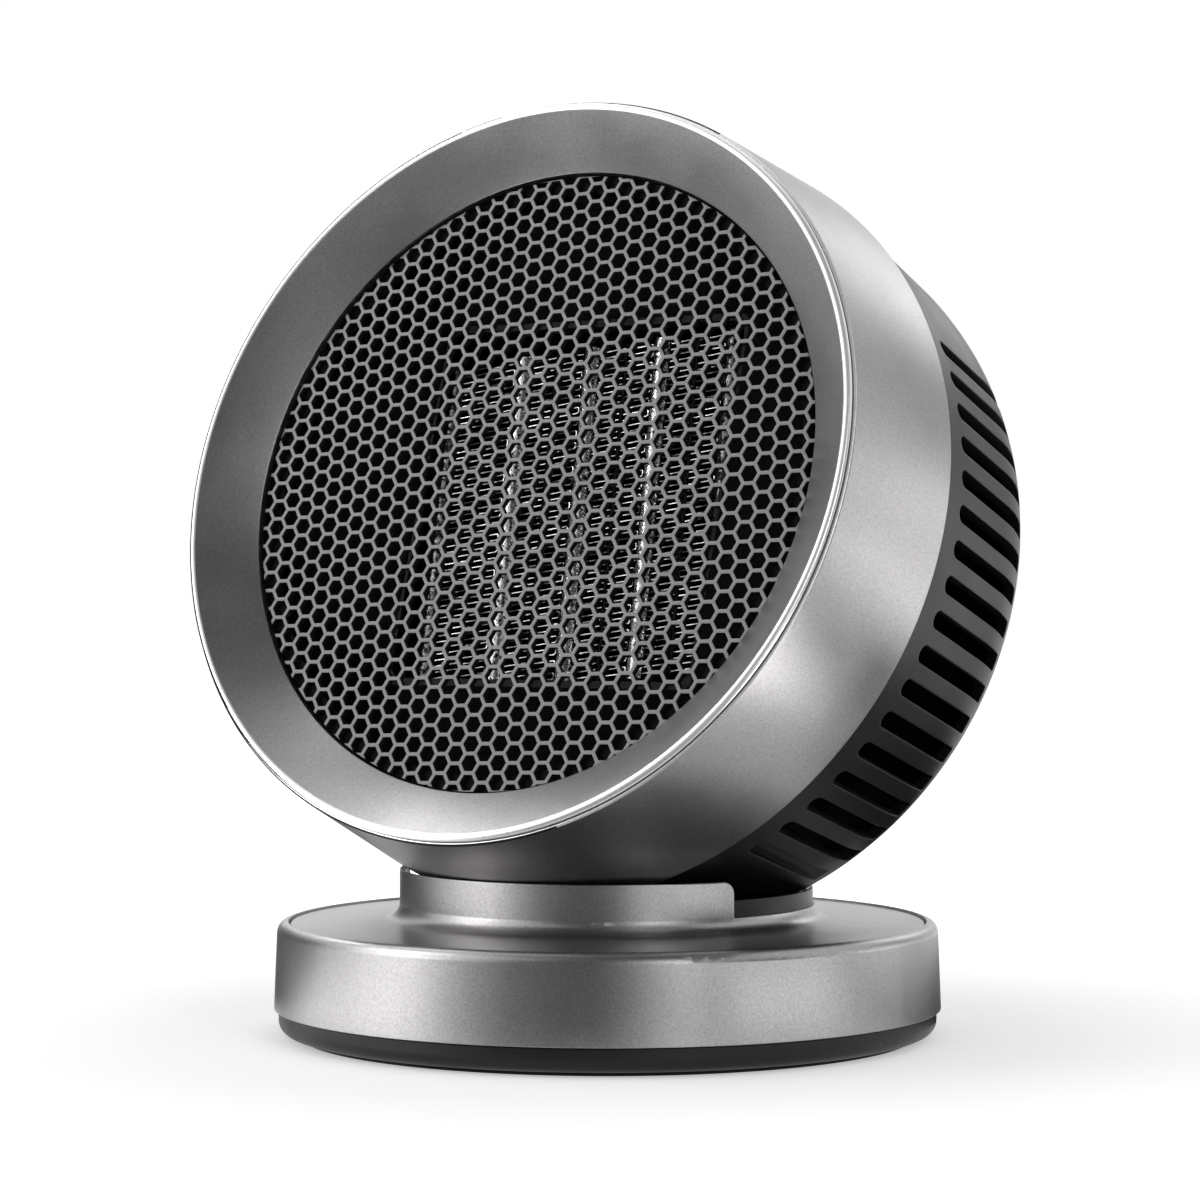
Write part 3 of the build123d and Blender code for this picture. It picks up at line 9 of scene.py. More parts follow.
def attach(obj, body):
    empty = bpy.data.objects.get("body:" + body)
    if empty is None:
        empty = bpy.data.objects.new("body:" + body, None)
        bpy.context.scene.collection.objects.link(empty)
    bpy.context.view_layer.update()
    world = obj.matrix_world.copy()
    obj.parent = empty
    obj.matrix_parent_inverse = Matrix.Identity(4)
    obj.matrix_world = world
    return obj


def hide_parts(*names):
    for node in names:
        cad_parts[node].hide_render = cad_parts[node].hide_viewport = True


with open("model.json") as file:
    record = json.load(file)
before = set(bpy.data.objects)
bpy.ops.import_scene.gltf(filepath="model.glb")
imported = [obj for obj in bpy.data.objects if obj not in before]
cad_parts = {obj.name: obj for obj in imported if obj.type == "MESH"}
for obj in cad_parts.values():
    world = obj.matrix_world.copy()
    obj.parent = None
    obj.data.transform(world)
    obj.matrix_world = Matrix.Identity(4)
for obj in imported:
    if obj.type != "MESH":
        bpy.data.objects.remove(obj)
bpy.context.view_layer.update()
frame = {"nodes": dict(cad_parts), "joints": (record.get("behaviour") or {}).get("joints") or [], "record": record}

# One millimetre, and the distance within which points are joined, in metres
MM = 0.001
WELD = 1e-7

# Places taken from the frame, in metres
joints = {joint["name"]: joint for joint in frame["joints"]}
TILT_CENTRE = Vector(joints["tilt"]["pos_m"])
HEAD_AXIS = Vector(joints["fan_spin"]["axis"]).normalized()
HEAD_SIDE = Vector((1, 0, 0))
HEAD_UP = HEAD_AXIS.cross(HEAD_SIDE).normalized()
HEAD_FRAME = Matrix((HEAD_SIDE, HEAD_UP, HEAD_AXIS)).transposed().to_4x4()
HEAD_FRAME.translation = TILT_CENTRE

# Camera, at the photograph's viewing angle
CAMERA_AZIMUTH = math.radians(32.4)
CAMERA_DISTANCE = 0.9216
CAMERA_HEIGHT = 0.1203
CAMERA_LENS = 102.0
CAMERA_SENSOR = 36.0
CAMERA_CLIP = 0.05
LOOK_DOWN = math.radians(0.19)
LOOK_LEFT = 0.0022

# Grille, in millimetres about the head's axis
CELL_PITCH = 5.15
CELL_HOLE = 4.1
GRILLE_RADIUS = 84.9
GRILLE_FRONT = 41.4
GRILLE_THICK = 1.8
GRILLE_ROUND = 0.15
ARC_STEP = 1.0

# How the grille is turned and slanted, and how far forward a face of its front looks
GRILLE_TURN = math.radians(2.0)
GRILLE_SLANT = math.tan(math.radians(3.0))
FACING_FRONT = 0.5

# How many bars the element has
BARS = 5

# Bars and fins of the element, in millimetres about the head's axis
BAR_PITCH = 22.0
BAR_WIDTH = 5.0
FIN_STEP = 1.7
FIN_HEIGHT = 95.0
FIN_FRONT = 18.0
FIN_DEPTH = 12.0
FIN_HALF = 0.13
FIN_RISE = 0.5
FIN_CORNER = 0.3
FIN_GAP = 0.15
PLATE_HALF = 0.2
PLATE_GAP = 0.4
BAR_FRONT = 19.0
BAR_BACK = 5.0
BAR_CURVE = 3.0
FOLD_NEAR = 0.01
RUN_LENGTH = 1.0

# The element sits a little turned and a little low in the head
ROLL = math.radians(5.0)
ELEMENT_SHIFT = Vector((1.5, -2.5, 0))
ELEMENT_TURN = Matrix.Rotation(ROLL, 4, "Z") @ Matrix.Translation(ELEMENT_SHIFT)

# Bezel's rolled lip, in millimetres about the head's axis
LIP_BACK = 52.4
LIP_BORE = 98.8
LIP_FORWARD = 52.44
LIP_RADIUS = 99.6

# Shade on the lip, its angles in degrees, and how sharply it ends
SHADE_SIDE = 165
SHADE_GAIN = 1.5
ROLL_BRIGHT = 75
ROLL_SHADED = 68

# Head band, in millimetres about the head's axis
BAND_BORE = 100
BAND_BACK_EDGE = 8.3
BAND_BACK_RIM = 106.0
BAND_SHADE_BACK = 51.3
BAND_SHADE_FRONT = 51.965
BAND_FRONT_EDGE = 51.7

# Where the painted shade line behind the band's front edge starts and ends, in degrees round the ring
BAND_SHADE_ANGLES = (60, 290)

# How finely rings, roundings and half of a bar's front are drawn
RING_SEGMENTS = 288
ROUND_STEPS = 10
BAR_STEPS = 8

# Noise values at the two ends of a pattern
NOISE_LOW = 0.3
NOISE_HIGH = 0.7

# Scale of the slow mottling, and how much finer the dents of bright metal are than its patches
MOTTLE_SCALE = 45.0
DENT_SCALE = 1.4


def new_material(name):
    """A node material with its shader, its object coordinates and an empty output."""
    material = bpy.data.materials.new(name)
    material.use_nodes = True
    nodes = material.node_tree.nodes
    nodes.clear()
    output = nodes.new("ShaderNodeOutputMaterial")
    shader = nodes.new("ShaderNodeBsdfPrincipled")
    place = nodes.new("ShaderNodeTexCoord")
    material.node_tree.links.new(shader.outputs["BSDF"], output.inputs["Surface"])
    return material, nodes, material.node_tree.links, shader, place.outputs["Object"]


def noise(nodes, links, place, scale, detail=2.0, roughness=0.5):
    """A noise texture in the object's own metres."""
    texture = nodes.new("ShaderNodeTexNoise")
    texture.inputs["Scale"].default_value = scale
    texture.inputs["Detail"].default_value = detail
    texture.inputs["Roughness"].default_value = roughness
    links.new(place, texture.inputs["Vector"])
    return texture.outputs["Fac"]


def spread(nodes, links, value, low, high):
    """Maps a noise value onto a range."""
    ranged = nodes.new("ShaderNodeMapRange")
    ranged.inputs["From Min"].default_value = NOISE_LOW
    ranged.inputs["From Max"].default_value = NOISE_HIGH
    ranged.inputs["To Min"].default_value = low
    ranged.inputs["To Max"].default_value = high
    links.new(value, ranged.inputs["Value"])
    return ranged.outputs["Result"]


def between(nodes, links, value, dark, light, start=NOISE_LOW, end=NOISE_HIGH):
    """A colour between two, by a noise value."""
    ramp = nodes.new("ShaderNodeValToRGB")
    ramp.color_ramp.elements[0].position = start
    ramp.color_ramp.elements[0].color = (*dark, 1)
    ramp.color_ramp.elements[1].position = end
    ramp.color_ramp.elements[1].color = (*light, 1)
    links.new(value, ramp.inputs["Fac"])
    return ramp.outputs["Color"]


def dented(nodes, links, shader, height, depth):
    """Dents a shader's surface by a noise value, to a depth in metres."""
    bump = nodes.new("ShaderNodeBump")
    bump.inputs["Strength"].default_value = 1.0
    bump.inputs["Distance"].default_value = depth
    links.new(height, bump.inputs["Height"])
    links.new(bump.outputs["Normal"], shader.inputs["Normal"])
    return bump


def grained(name, colour, roughness, *, grain, fleck, metallic=0.0, depth=0.00001, mottle=0.03,
            uneven=0.05, edge=0.0003, **sockets):
    """A finish with fine grain, slow mottling, uneven gloss and slightly rounded edges."""
    material, nodes, links, shader, place = new_material(name)
    fine = noise(nodes, links, place, grain, detail=3.0, roughness=0.6)
    slow = noise(nodes, links, place, MOTTLE_SCALE, detail=4.0)
    mix = nodes.new("ShaderNodeMix")
    mix.data_type = "RGBA"
    mix.blend_type = "MULTIPLY"
    mix.inputs["Factor"].default_value = 1.0
    flecks = between(nodes, links, fine, [c * (1 - fleck) for c in colour],
                     [c * (1 + fleck) for c in colour])
    patches = between(nodes, links, slow, [1 - mottle] * 3, [1.0] * 3)
    links.new(flecks, mix.inputs["A"])
    links.new(patches, mix.inputs["B"])
    links.new(mix.outputs["Result"], shader.inputs["Base Color"])
    gloss = spread(nodes, links, slow, roughness - uneven, roughness + uneven)
    links.new(gloss, shader.inputs["Roughness"])
    bump = dented(nodes, links, shader, fine, depth)
    if edge:
        bevel = nodes.new("ShaderNodeBevel")
        bevel.samples = 4
        bevel.inputs["Radius"].default_value = edge
        links.new(bevel.outputs["Normal"], bump.inputs["Normal"])
    shader.inputs["Metallic"].default_value = metallic
    for socket, value in sockets.items():
        shader.inputs[socket.replace("_", " ")].default_value = value
    return material


def painted_glint_metal(name, *, dark, light, scale, roughness, depth, low=0.44, high=0.58):
    """Bright metal with small dents, its colour flecked from dark to bright like crumpled foil: the flecks are
    painted reflections.
    """
    material, nodes, links, shader, place = new_material(name)
    patches = noise(nodes, links, place, scale, detail=3.0, roughness=0.6)
    colour = between(nodes, links, patches, [dark] * 3, [light] * 3, low, high)
    links.new(colour, shader.inputs["Base Color"])
    gloss = spread(nodes, links, patches, roughness + 0.1, roughness - 0.05)
    links.new(gloss, shader.inputs["Roughness"])
    dented(nodes, links, shader, noise(nodes, links, place, scale * DENT_SCALE), depth)
    shader.inputs["Metallic"].default_value = 1.0
    return material


# Finishes, one for each material slot of the record
LOOKS = {
    "satin_silver": grained("satin_silver", (0.36, 0.352, 0.352), 0.35, metallic=1.0, grain=1700,
                            fleck=0.16, depth=0.000018, mottle=0.04, uneven=0.03),
    "dark_shell": grained("dark_shell", (0.008, 0.008, 0.0085), 0.42, grain=2600, fleck=0.10,
                          edge=0.0006, Specular_IOR_Level=0.3),
    "black_plastic": grained("black_plastic", (0.006, 0.006, 0.0065), 0.4, grain=2600, fleck=0.12,
                             Specular_IOR_Level=0.3),
    "grille_grey": grained("grille_grey", (0.20, 0.20, 0.202), 0.42, grain=2400, fleck=0.08, edge=0),
    "foot_rubber": grained("foot_rubber", (0.008, 0.008, 0.008), 0.7, grain=1400, fleck=0.2,
                           depth=0.00003, Specular_IOR_Level=0.2),
    "zinc_steel": grained("zinc_steel", (0.50, 0.51, 0.53), 0.34, metallic=1.0, grain=900, fleck=0.08),
    "cast_ballast": grained("cast_ballast", (0.10, 0.10, 0.11), 0.65, metallic=0.7, grain=700,
                            fleck=0.25, depth=0.00012),
    # The element's aluminium: its dark and bright flecks are painted reflections
    "element_aluminium": painted_glint_metal("element_aluminium", dark=0.03, light=1.0, scale=620, roughness=0.24,
                                  depth=0.0002, low=0.36, high=0.48),
    "heat_plastic": grained("heat_plastic", (0.004, 0.004, 0.004), 0.75, grain=1800, fleck=0.15,
                            Specular_IOR_Level=0.1),
    "gear_nylon": grained("gear_nylon", (0.70, 0.69, 0.63), 0.4, grain=1500, fleck=0.03),
    "circuit_board": grained("circuit_board", (0.03, 0.16, 0.06), 0.3, grain=500, fleck=0.2),
    "lamp_lens": grained("lamp_lens", (0.42, 0.06, 0.02), 0.12, grain=300, fleck=0.1, depth=0.00004,
                         Transmission_Weight=0.35),
}
# Near-white finish for the lip and the band's edges, a painted highlight
HIGHLIGHT_EDGE = grained("edge_painted_highlight", (0.86, 0.86, 0.86), 0.28, metallic=0.6, grain=1700, fleck=0.03,
                      depth=0.000006, mottle=0.02, uneven=0.03, edge=0)
# Near-black steel for the plate inside the element, painted shade
SHADED_STEEL = grained("steel_painted_shade", (0.006, 0.006, 0.006), 0.6, metallic=0.3, grain=900, fleck=0.1,
                     edge=0)
# Near-black finish for the grille's inner cell walls, painted shade
SHADED_GRILLE_WALL = grained("grille_wall_painted_shade", (0.012, 0.012, 0.012), 0.6, grain=2400, fleck=0.08, edge=0,
                      Specular_IOR_Level=0.2)
# Dimmer copy of the element's aluminium for the two outer bars, painted shade
SHADED_OUTER_BAR = painted_glint_metal("outer_bar_painted_shade", dark=0.01, light=0.30, scale=620, roughness=0.24, depth=0.0002)
# Fin finishes: near-black faces are painted shade, bright front edges and folds are painted highlights
SHADED_FIN_FACE = grained("fin_face_painted_shade", (0.012, 0.012, 0.012), 0.5, metallic=1.0, grain=900, fleck=0.1, edge=0)
HIGHLIT_FIN_EDGE = painted_glint_metal("fin_edge_painted_highlight", dark=0.04, light=0.95, scale=130, roughness=0.3, depth=0.0001,
                    low=0.40, high=0.62)
HIGHLIT_FIN_FOLD = painted_glint_metal("fin_fold_painted_highlight", dark=0.03, light=1.0, scale=420, roughness=0.2, depth=0.0003,
                    low=0.46, high=0.54)
# Dark finish for the collar and the apron's inner side, painted shade
SHADED_COLLAR = grained("collar_painted_shade", (0.018, 0.018, 0.018), 0.4, metallic=0.6, grain=1700, fleck=0.1)
# Near-black finish for painted shade on the lip and behind the band's front edge
SHADE_LINE = grained("painted_shade_line", (0.02, 0.02, 0.02), 0.5, grain=1700, fleck=0.05, edge=0,
                    Specular_IOR_Level=0.1)

# Every CAD node gets the finish of its slot, and the steel plate behind the element a darker one, painted shade
for row in frame["record"]["subparts"]:
    node = frame["nodes"][row["node"]]
    node.data.materials.clear()
    node.data.materials.append(LOOKS[row["material_slot"]])
frame["nodes"]["mid_plate"].data.materials[0] = SHADED_STEEL

# The turntable cover's low collar and the inner side of its apron get painted shade, places in metres
COLLAR_RADIUS = 0.0556
COLLAR_NEAR = 0.0004
COLLAR_LOW = 0.0352
COLLAR_TOP = 0.0402
INWARD = -1e-6
cover = frame["nodes"]["turntable_cover"].data
cover.materials.append(SHADED_COLLAR)
for polygon in cover.polygons:
    spot = polygon.center
    outward = polygon.normal.x * spot.x + polygon.normal.y * spot.y
    on_collar = abs(math.hypot(spot.x, spot.y) - COLLAR_RADIUS) < COLLAR_NEAR
    low = COLLAR_LOW < spot.z < COLLAR_TOP and on_collar
    if low or spot.z > COLLAR_TOP and outward < INWARD:
        polygon.material_index = 1


def add_piece(name, verts, faces, surfaces, indices, nodes, sharp=35.0, turn=Matrix.Identity(4)):
    """A piece drawn in millimetres about the head's axis: X across, Y up, Z forward."""
    mesh = bpy.data.meshes.new(name)
    mesh.from_pydata(verts, [], faces)
    for surface in surfaces:
        mesh.materials.append(surface)
    for polygon, index in zip(mesh.polygons, indices):
        polygon.material_index = index
    place_piece(mesh, name, nodes, sharp, turn)


def place_piece(mesh, name, nodes, sharp, turn):
    """Puts a mesh drawn in millimetres into the head and lets it stand for its CAD nodes."""
    mesh.transform(HEAD_FRAME @ Matrix.Scale(MM, 4) @ turn)
    work = bmesh.new()
    work.from_mesh(mesh)
    bmesh.ops.remove_doubles(work, verts=work.verts, dist=WELD)
    bmesh.ops.recalc_face_normals(work, faces=work.faces)
    work.to_mesh(mesh)
    work.free()
    mesh.shade_smooth()
    mesh.set_sharp_from_angle(angle=math.radians(sharp))
    piece = bpy.data.objects.new(name, mesh)
    bpy.context.scene.collection.objects.link(piece)
    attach(piece, "head")
    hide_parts(*nodes)


def rounded(corners):
    """A closed outline's points, each (x, y, radius) corner with a radius turned into an arc."""
    points = []
    for k, (x, y, radius) in enumerate(corners):
        here = Vector((x, y))
        to_last = (Vector(corners[k - 1][:2]) - here).normalized()
        to_next = (Vector(corners[(k + 1) % len(corners)][:2]) - here).normalized()
        if radius == 0:
            points.append((x, y))
            continue
        half = to_last.angle(to_next) / 2
        centre = here + (to_last + to_next).normalized() * (radius / math.sin(half))
        first = here + to_last * (radius / math.tan(half)) - centre
        last = here + to_next * (radius / math.tan(half)) - centre
        sweep = math.pi - 2 * half
        for step in range(ROUND_STEPS + 1):
            t = step / ROUND_STEPS
            arm = (first * math.sin((1 - t) * sweep) + last * math.sin(t * sweep)) / math.sin(sweep)
            points.append(tuple(centre + arm))
    return points


# Finishes of a turned ring, by their place in its materials: plain silver, a painted highlight and painted shade
SILVER, PAINTED_HIGHLIGHT, PAINTED_SHADE = range(3)


def turned(name, corners, node, finish_of):
    """A ring turned about the head's axis from (forward, radius, rounding) corners.

    Its finishes come from each face's forward place, radius and angle round the ring.
    """
    profile = rounded(corners)
    count = len(profile)
    verts, faces, indices = [], [], []
    for turn in range(RING_SEGMENTS):
        a = math.tau * turn / RING_SEGMENTS
        verts += [(r * math.cos(a), r * math.sin(a), forward) for forward, r in profile]
    for turn in range(RING_SEGMENTS):
        this, following = turn * count, (turn + 1) % RING_SEGMENTS * count
        angle = math.degrees(math.tau * turn / RING_SEGMENTS)
        for k in range(count):
            n = (k + 1) % count
            faces.append((this + k, this + n, following + n, following + k))
            middle = ((profile[k][0] + profile[n][0]) / 2, (profile[k][1] + profile[n][1]) / 2)
            indices.append(finish_of(*middle, angle))
    add_piece(name, verts, faces, (LOOKS["satin_silver"], HIGHLIGHT_EDGE, SHADE_LINE), indices,
              (node,))


def lip_finish(forward, radius, angle):
    """The rolled lip gets a painted highlight, and its outer side gets painted shade on the left."""
    if forward < LIP_BACK or radius < LIP_BORE:
        return SILVER
    over = math.degrees(math.atan2(radius - LIP_RADIUS, forward - LIP_FORWARD))
    shade = min(1.0, max(0.0, SHADE_GAIN * math.cos(math.radians(angle - SHADE_SIDE))))
    return PAINTED_SHADE if over > ROLL_BRIGHT - ROLL_SHADED * shade else PAINTED_HIGHLIGHT


def band_finish(forward, radius, angle):
    """The band's front and back edges get a painted highlight, with a painted shade line behind the front one on
    the left.
    """
    if radius < BAND_BORE or BAND_BACK_EDGE < forward < BAND_SHADE_BACK:
        return SILVER
    shade_start, shade_end = BAND_SHADE_ANGLES
    if BAND_SHADE_BACK <= forward < BAND_SHADE_FRONT and shade_start < angle < shade_end:
        return PAINTED_SHADE
    at_back = forward < BAND_BACK_EDGE and radius > BAND_BACK_RIM
    return PAINTED_HIGHLIGHT if forward > BAND_FRONT_EDGE or at_back else SILVER


# Front bezel: bore, sloping rim, rolled lip and the skirt behind it
BEZEL_CORNERS = (
    (39.0, 85.5, 0), (42.6, 85.5, 0.35), (55.18, 100.9, 1.29), (LIP_BACK, 100.9, 0),
    (LIP_BACK, 99.8, 0), (42.0, 99.8, 0), (42.0, 98.0, 0), (50.2, 98.0, 0), (41.2, 87.0, 0),
    (39.0, 87.0, 0))
turned("bezel_ring", BEZEL_CORNERS, "front_bezel", lip_finish)

# Head band: tapered outer ring, rounded at both edges, with a flange inside it
BAND_CORNERS = (
    (52.0, 100.1, 0.15), (52.0, 101.59, 0.7), (8.0, 106.4, 0.35), (8.0, 104.2, 0),
    (22.0, 102.67, 0), (22.0, 88.0, 0), (24.0, 88.0, 0), (24.0, 102.45, 0), (44.0, 100.27, 0))
turned("outer_band", BAND_CORNERS, "head_band", band_finish)


def add_outline(curve, points):
    """A closed outline of straight lines, added to a flat curve."""
    spline = curve.splines.new("POLY")
    spline.points.add(len(points) - 1)
    for point, (x, y) in zip(spline.points, points):
        point.co = (x, y, 0, 1)
    spline.use_cyclic_u = True


def crossing(inner, outer, limit):
    """Where the line from a point inside the rim to one outside crosses it."""
    (x1, y1), (x2, y2) = inner, outer
    a = (x2 - x1) ** 2 + (y2 - y1) ** 2
    b = x1 * (x2 - x1) + y1 * (y2 - y1)
    c = x1 * x1 + y1 * y1 - limit * limit
    t = (-b + math.sqrt(b * b - a * c)) / a
    return x1 + t * (x2 - x1), y1 + t * (y2 - y1)


def honeycomb_outlines():
    """The whole cells, and the rim with each cell that it cuts left open."""
    rim = GRILLE_RADIUS - GRILLE_ROUND
    size = (CELL_HOLE + 2 * GRILLE_ROUND) / math.sqrt(3)
    column_pitch = CELL_PITCH * math.sqrt(3) / 2
    reach = int(GRILLE_RADIUS / column_pitch) + 2
    cells, notches = [], []
    for column in range(-reach, reach + 1):
        for row in range(-reach, reach + 1):
            x, y = column * column_pitch, (row + 0.5 * (column % 2)) * CELL_PITCH
            turns = [math.radians(60 * k) for k in range(6)]
            corners = [(x + size * math.cos(a), y + size * math.sin(a)) for a in turns]
            corners = [(across - GRILLE_SLANT * up, up) for across, up in corners]
            inside = [math.hypot(*corner) < rim for corner in corners]
            if all(inside):
                cells.append(corners)
            elif any(inside):
                first = next(k for k in range(6) if inside[k] and not inside[k - 1])
                count = sum(inside)
                kept = [corners[(first + k) % 6] for k in range(count)]
                path = [crossing(kept[0], corners[first - 1], rim), *kept,
                        crossing(kept[-1], corners[(first + count) % 6], rim)]
                notches.append(path[::-1])
    notches.sort(key=lambda path: math.atan2(path[0][1], path[0][0]))
    outline = []
    for path, following in zip(notches, notches[1:] + notches[:1]):
        outline += path
        start = math.atan2(path[-1][1], path[-1][0])
        gap = (math.atan2(following[0][1], following[0][0]) - start) % math.tau
        parts = int(gap * rim / ARC_STEP) + 1
        turns = [start + gap * k / parts for k in range(1, parts)]
        outline += [(rim * math.cos(a), rim * math.sin(a)) for a in turns]
    return [outline, *cells]


def honeycomb_grille():
    """The outlet grille, its walls rounded front and back and left open where the bezel cuts them."""
    curve = bpy.data.curves.new("grille_outline", "CURVE")
    curve.dimensions = "2D"
    curve.fill_mode = "BOTH"
    curve.extrude = GRILLE_THICK / 2 - GRILLE_ROUND
    curve.bevel_depth = GRILLE_ROUND
    curve.bevel_resolution = 2
    for outline in honeycomb_outlines():
        add_outline(curve, outline)
    flat = bpy.data.objects.new("grille_outline", curve)
    bpy.context.scene.collection.objects.link(flat)
    graph = bpy.context.evaluated_depsgraph_get()
    mesh = bpy.data.meshes.new_from_object(flat.evaluated_get(graph))
    bpy.data.objects.remove(flat)
    mesh.materials.clear()
    mesh.materials.append(LOOKS["grille_grey"])
    mesh.materials.append(SHADED_GRILLE_WALL)
    # Painted shade: faces that do not look forward, the cells' inner walls, get the near-black finish
    for polygon in mesh.polygons:
        polygon.material_index = 1 if polygon.normal.z < FACING_FRONT else 0
    mesh.transform(Matrix.Translation((0, 0, GRILLE_FRONT - GRILLE_THICK / 2)))
    place_piece(mesh, "outlet_grille", ("honeycomb_grille",), sharp=40.0,
                turn=Matrix.Rotation(GRILLE_TURN, 4, "Z"))


honeycomb_grille()


# Finishes of a fin strip, by their place in its materials: painted shade on its faces, a painted highlight on its
# front edge and at its folds by the right-hand bar
FACE, EDGE, FOLD = range(3)


def folded_path(left, right):
    """A strip folded to and fro between two walls, each run rising a little to the right."""
    runs = int(FIN_HEIGHT / FIN_STEP)
    corners = []
    for k in range(runs):
        y = (k - (runs - 1) / 2) * FIN_STEP
        ends = [(left, y - FIN_RISE / 2), (right, y + FIN_RISE / 2)]
        corners += ends if k % 2 == 0 else ends[::-1]
    path = [corners[0]]
    for last, here, following in zip(corners, corners[1:], corners[2:]):
        for other in (last, following):
            step = (Vector(other) - Vector(here)).normalized() * FIN_CORNER
            path.append((here[0] + step.x, here[1] + step.y))
    return path + [corners[-1]]


def add_strip(verts, faces, indices, path, half, surface_of):
    """A strip of sheet along a path, from the fins' front back, with a painted highlight on its front edge."""
    back = FIN_FRONT - FIN_DEPTH
    base, last = len(verts), len(path) - 1
    steps = [(Vector(b) - Vector(a)).normalized() for a, b in zip(path, path[1:])]
    for k, point in enumerate(path):
        before, after = steps[max(k - 1, 0)], steps[min(k, last - 1)]
        side = Vector((-before.y - after.y, before.x + after.x)) / (1 + before.dot(after)) * half
        for sign, forward in ((1, back), (1, FIN_FRONT), (-1, FIN_FRONT), (-1, back)):
            verts.append((point[0] + sign * side.x, point[1] + sign * side.y, forward))
    for k in range(last):
        this = base + 4 * k
        for corner in range(4):
            n = (corner + 1) % 4
            faces.append((this + corner, this + n, this + 4 + n, this + 4 + corner))
            indices.append(surface_of(path[k], path[k + 1]) if corner == 1 else FACE)
    faces.append((base, base + 1, base + 2, base + 3))
    faces.append(tuple(base + 4 * last + corner for corner in (3, 2, 1, 0)))
    indices.extend((FACE, FACE))


def element_bar(number):
    """A bar of the element, flat behind and gently rounded in front."""
    middle = (number - (BARS + 1) / 2) * BAR_PITCH
    half = BAR_WIDTH / 2
    sweep = math.asin(half / BAR_CURVE)
    front = [(middle + BAR_CURVE * math.sin(a), BAR_FRONT - BAR_CURVE * (1 - math.cos(a)))
             for a in (sweep * (k / BAR_STEPS - 1) for k in range(2 * BAR_STEPS + 1))]
    section = [(middle - half, BAR_BACK), *front, (middle + half, BAR_BACK)]
    count = len(section)
    verts = [(x, y, z) for y in (-FIN_HEIGHT / 2, FIN_HEIGHT / 2) for x, z in section]
    faces = [tuple(range(count)), tuple(range(2 * count - 1, count - 1, -1))]
    faces += [(k, (k + 1) % count, count + (k + 1) % count, count + k) for k in range(count)]
    # The two outer bars get the dimmer copy, painted shade
    surface = SHADED_OUTER_BAR if number in (1, BARS) else LOOKS["element_aluminium"]
    add_piece("element_bar_" + str(number), verts, faces, (surface,), [0] * len(faces),
              ("heater_bar_" + str(number),), sharp=40.0,
              turn=ELEMENT_TURN)


def fin_stack(number):
    """A centre plate with a folded strip on either side, with a painted highlight where it folds at the right-hand
    bar.
    """
    middle = (number - BARS / 2) * BAR_PITCH
    reach = (BAR_PITCH - BAR_WIDTH) / 2 - FIN_GAP
    highlight_from = middle + reach - FIN_CORNER - FOLD_NEAR

    def strip_finish(a, b):
        if min(a[0], b[0]) > highlight_from:
            return FOLD
        return EDGE if abs(a[0] - b[0]) > RUN_LENGTH else FACE

    verts, faces, indices = [], [], []
    plate = [(middle, -FIN_HEIGHT / 2), (middle, FIN_HEIGHT / 2)]
    add_strip(verts, faces, indices, plate, PLATE_HALF, lambda a, b: FACE)
    for left, right in ((middle - reach, middle - PLATE_GAP), (middle + PLATE_GAP, middle + reach)):
        add_strip(verts, faces, indices, folded_path(left, right), FIN_HALF, strip_finish)
    add_piece("fin_stack_" + str(number), verts, faces, (SHADED_FIN_FACE, HIGHLIT_FIN_EDGE, HIGHLIT_FIN_FOLD), indices,
              ("fin_pack_" + str(number),), sharp=60.0,
              turn=ELEMENT_TURN)


for number in range(1, BARS + 1):
    element_bar(number)
for number in range(1, BARS):
    fin_stack(number)

# Camera
camera_data = bpy.data.cameras.new("camera")
camera_data.lens = CAMERA_LENS
camera_data.sensor_width = CAMERA_SENSOR
camera_data.clip_start = CAMERA_CLIP
camera = bpy.data.objects.new("camera", camera_data)
camera.location = (CAMERA_DISTANCE * math.sin(CAMERA_AZIMUTH),
                   -CAMERA_DISTANCE * math.cos(CAMERA_AZIMUTH), CAMERA_HEIGHT)
camera.rotation_euler = (math.pi / 2 - LOOK_DOWN, 0, CAMERA_AZIMUTH + LOOK_LEFT)
bpy.context.scene.collection.objects.link(camera)
bpy.context.scene.camera = camera


def seen_directly(nodes, links):
    """One for rays from the camera, from reflections and through clear parts, otherwise nought."""
    rays = nodes.new("ShaderNodeLightPath")
    reflected = nodes.new("ShaderNodeMath")
    reflected.operation = "MAXIMUM"
    links.new(rays.outputs["Is Camera Ray"], reflected.inputs[0])
    links.new(rays.outputs["Is Glossy Ray"], reflected.inputs[1])
    through = nodes.new("ShaderNodeMath")
    through.operation = "MAXIMUM"
    links.new(reflected.outputs[0], through.inputs[0])
    links.new(rays.outputs["Is Transmission Ray"], through.inputs[1])
    return through.outputs[0]


# Floor: a grey sheet that keeps the shadow, with a glow that makes it white where it is seen
FLOOR_HALF = 6.0
FLOOR_GREY = 0.82
FLOOR_GLOW = 0.42
FLOOR_GLOW_FAR = 0.80
GLOW_NEAR = 0.12
GLOW_FAR = 0.4
floor_mesh = bpy.data.meshes.new("floor")
floor_corners = [(x * FLOOR_HALF, y * FLOOR_HALF, 0) for x, y in ((-1, -1), (1, -1), (1, 1), (-1, 1))]
floor_mesh.from_pydata(floor_corners, [], [(0, 1, 2, 3)])
floor = bpy.data.objects.new("floor", floor_mesh)
bpy.context.scene.collection.objects.link(floor)
floor_material = bpy.data.materials.new("floor")
floor_material.use_nodes = True
nodes, links = floor_material.node_tree.nodes, floor_material.node_tree.links
nodes.clear()
output = nodes.new("ShaderNodeOutputMaterial")
total = nodes.new("ShaderNodeAddShader")
matte = nodes.new("ShaderNodeBsdfDiffuse")
matte.inputs["Color"].default_value = (FLOOR_GREY, FLOOR_GREY, FLOOR_GREY, 1)
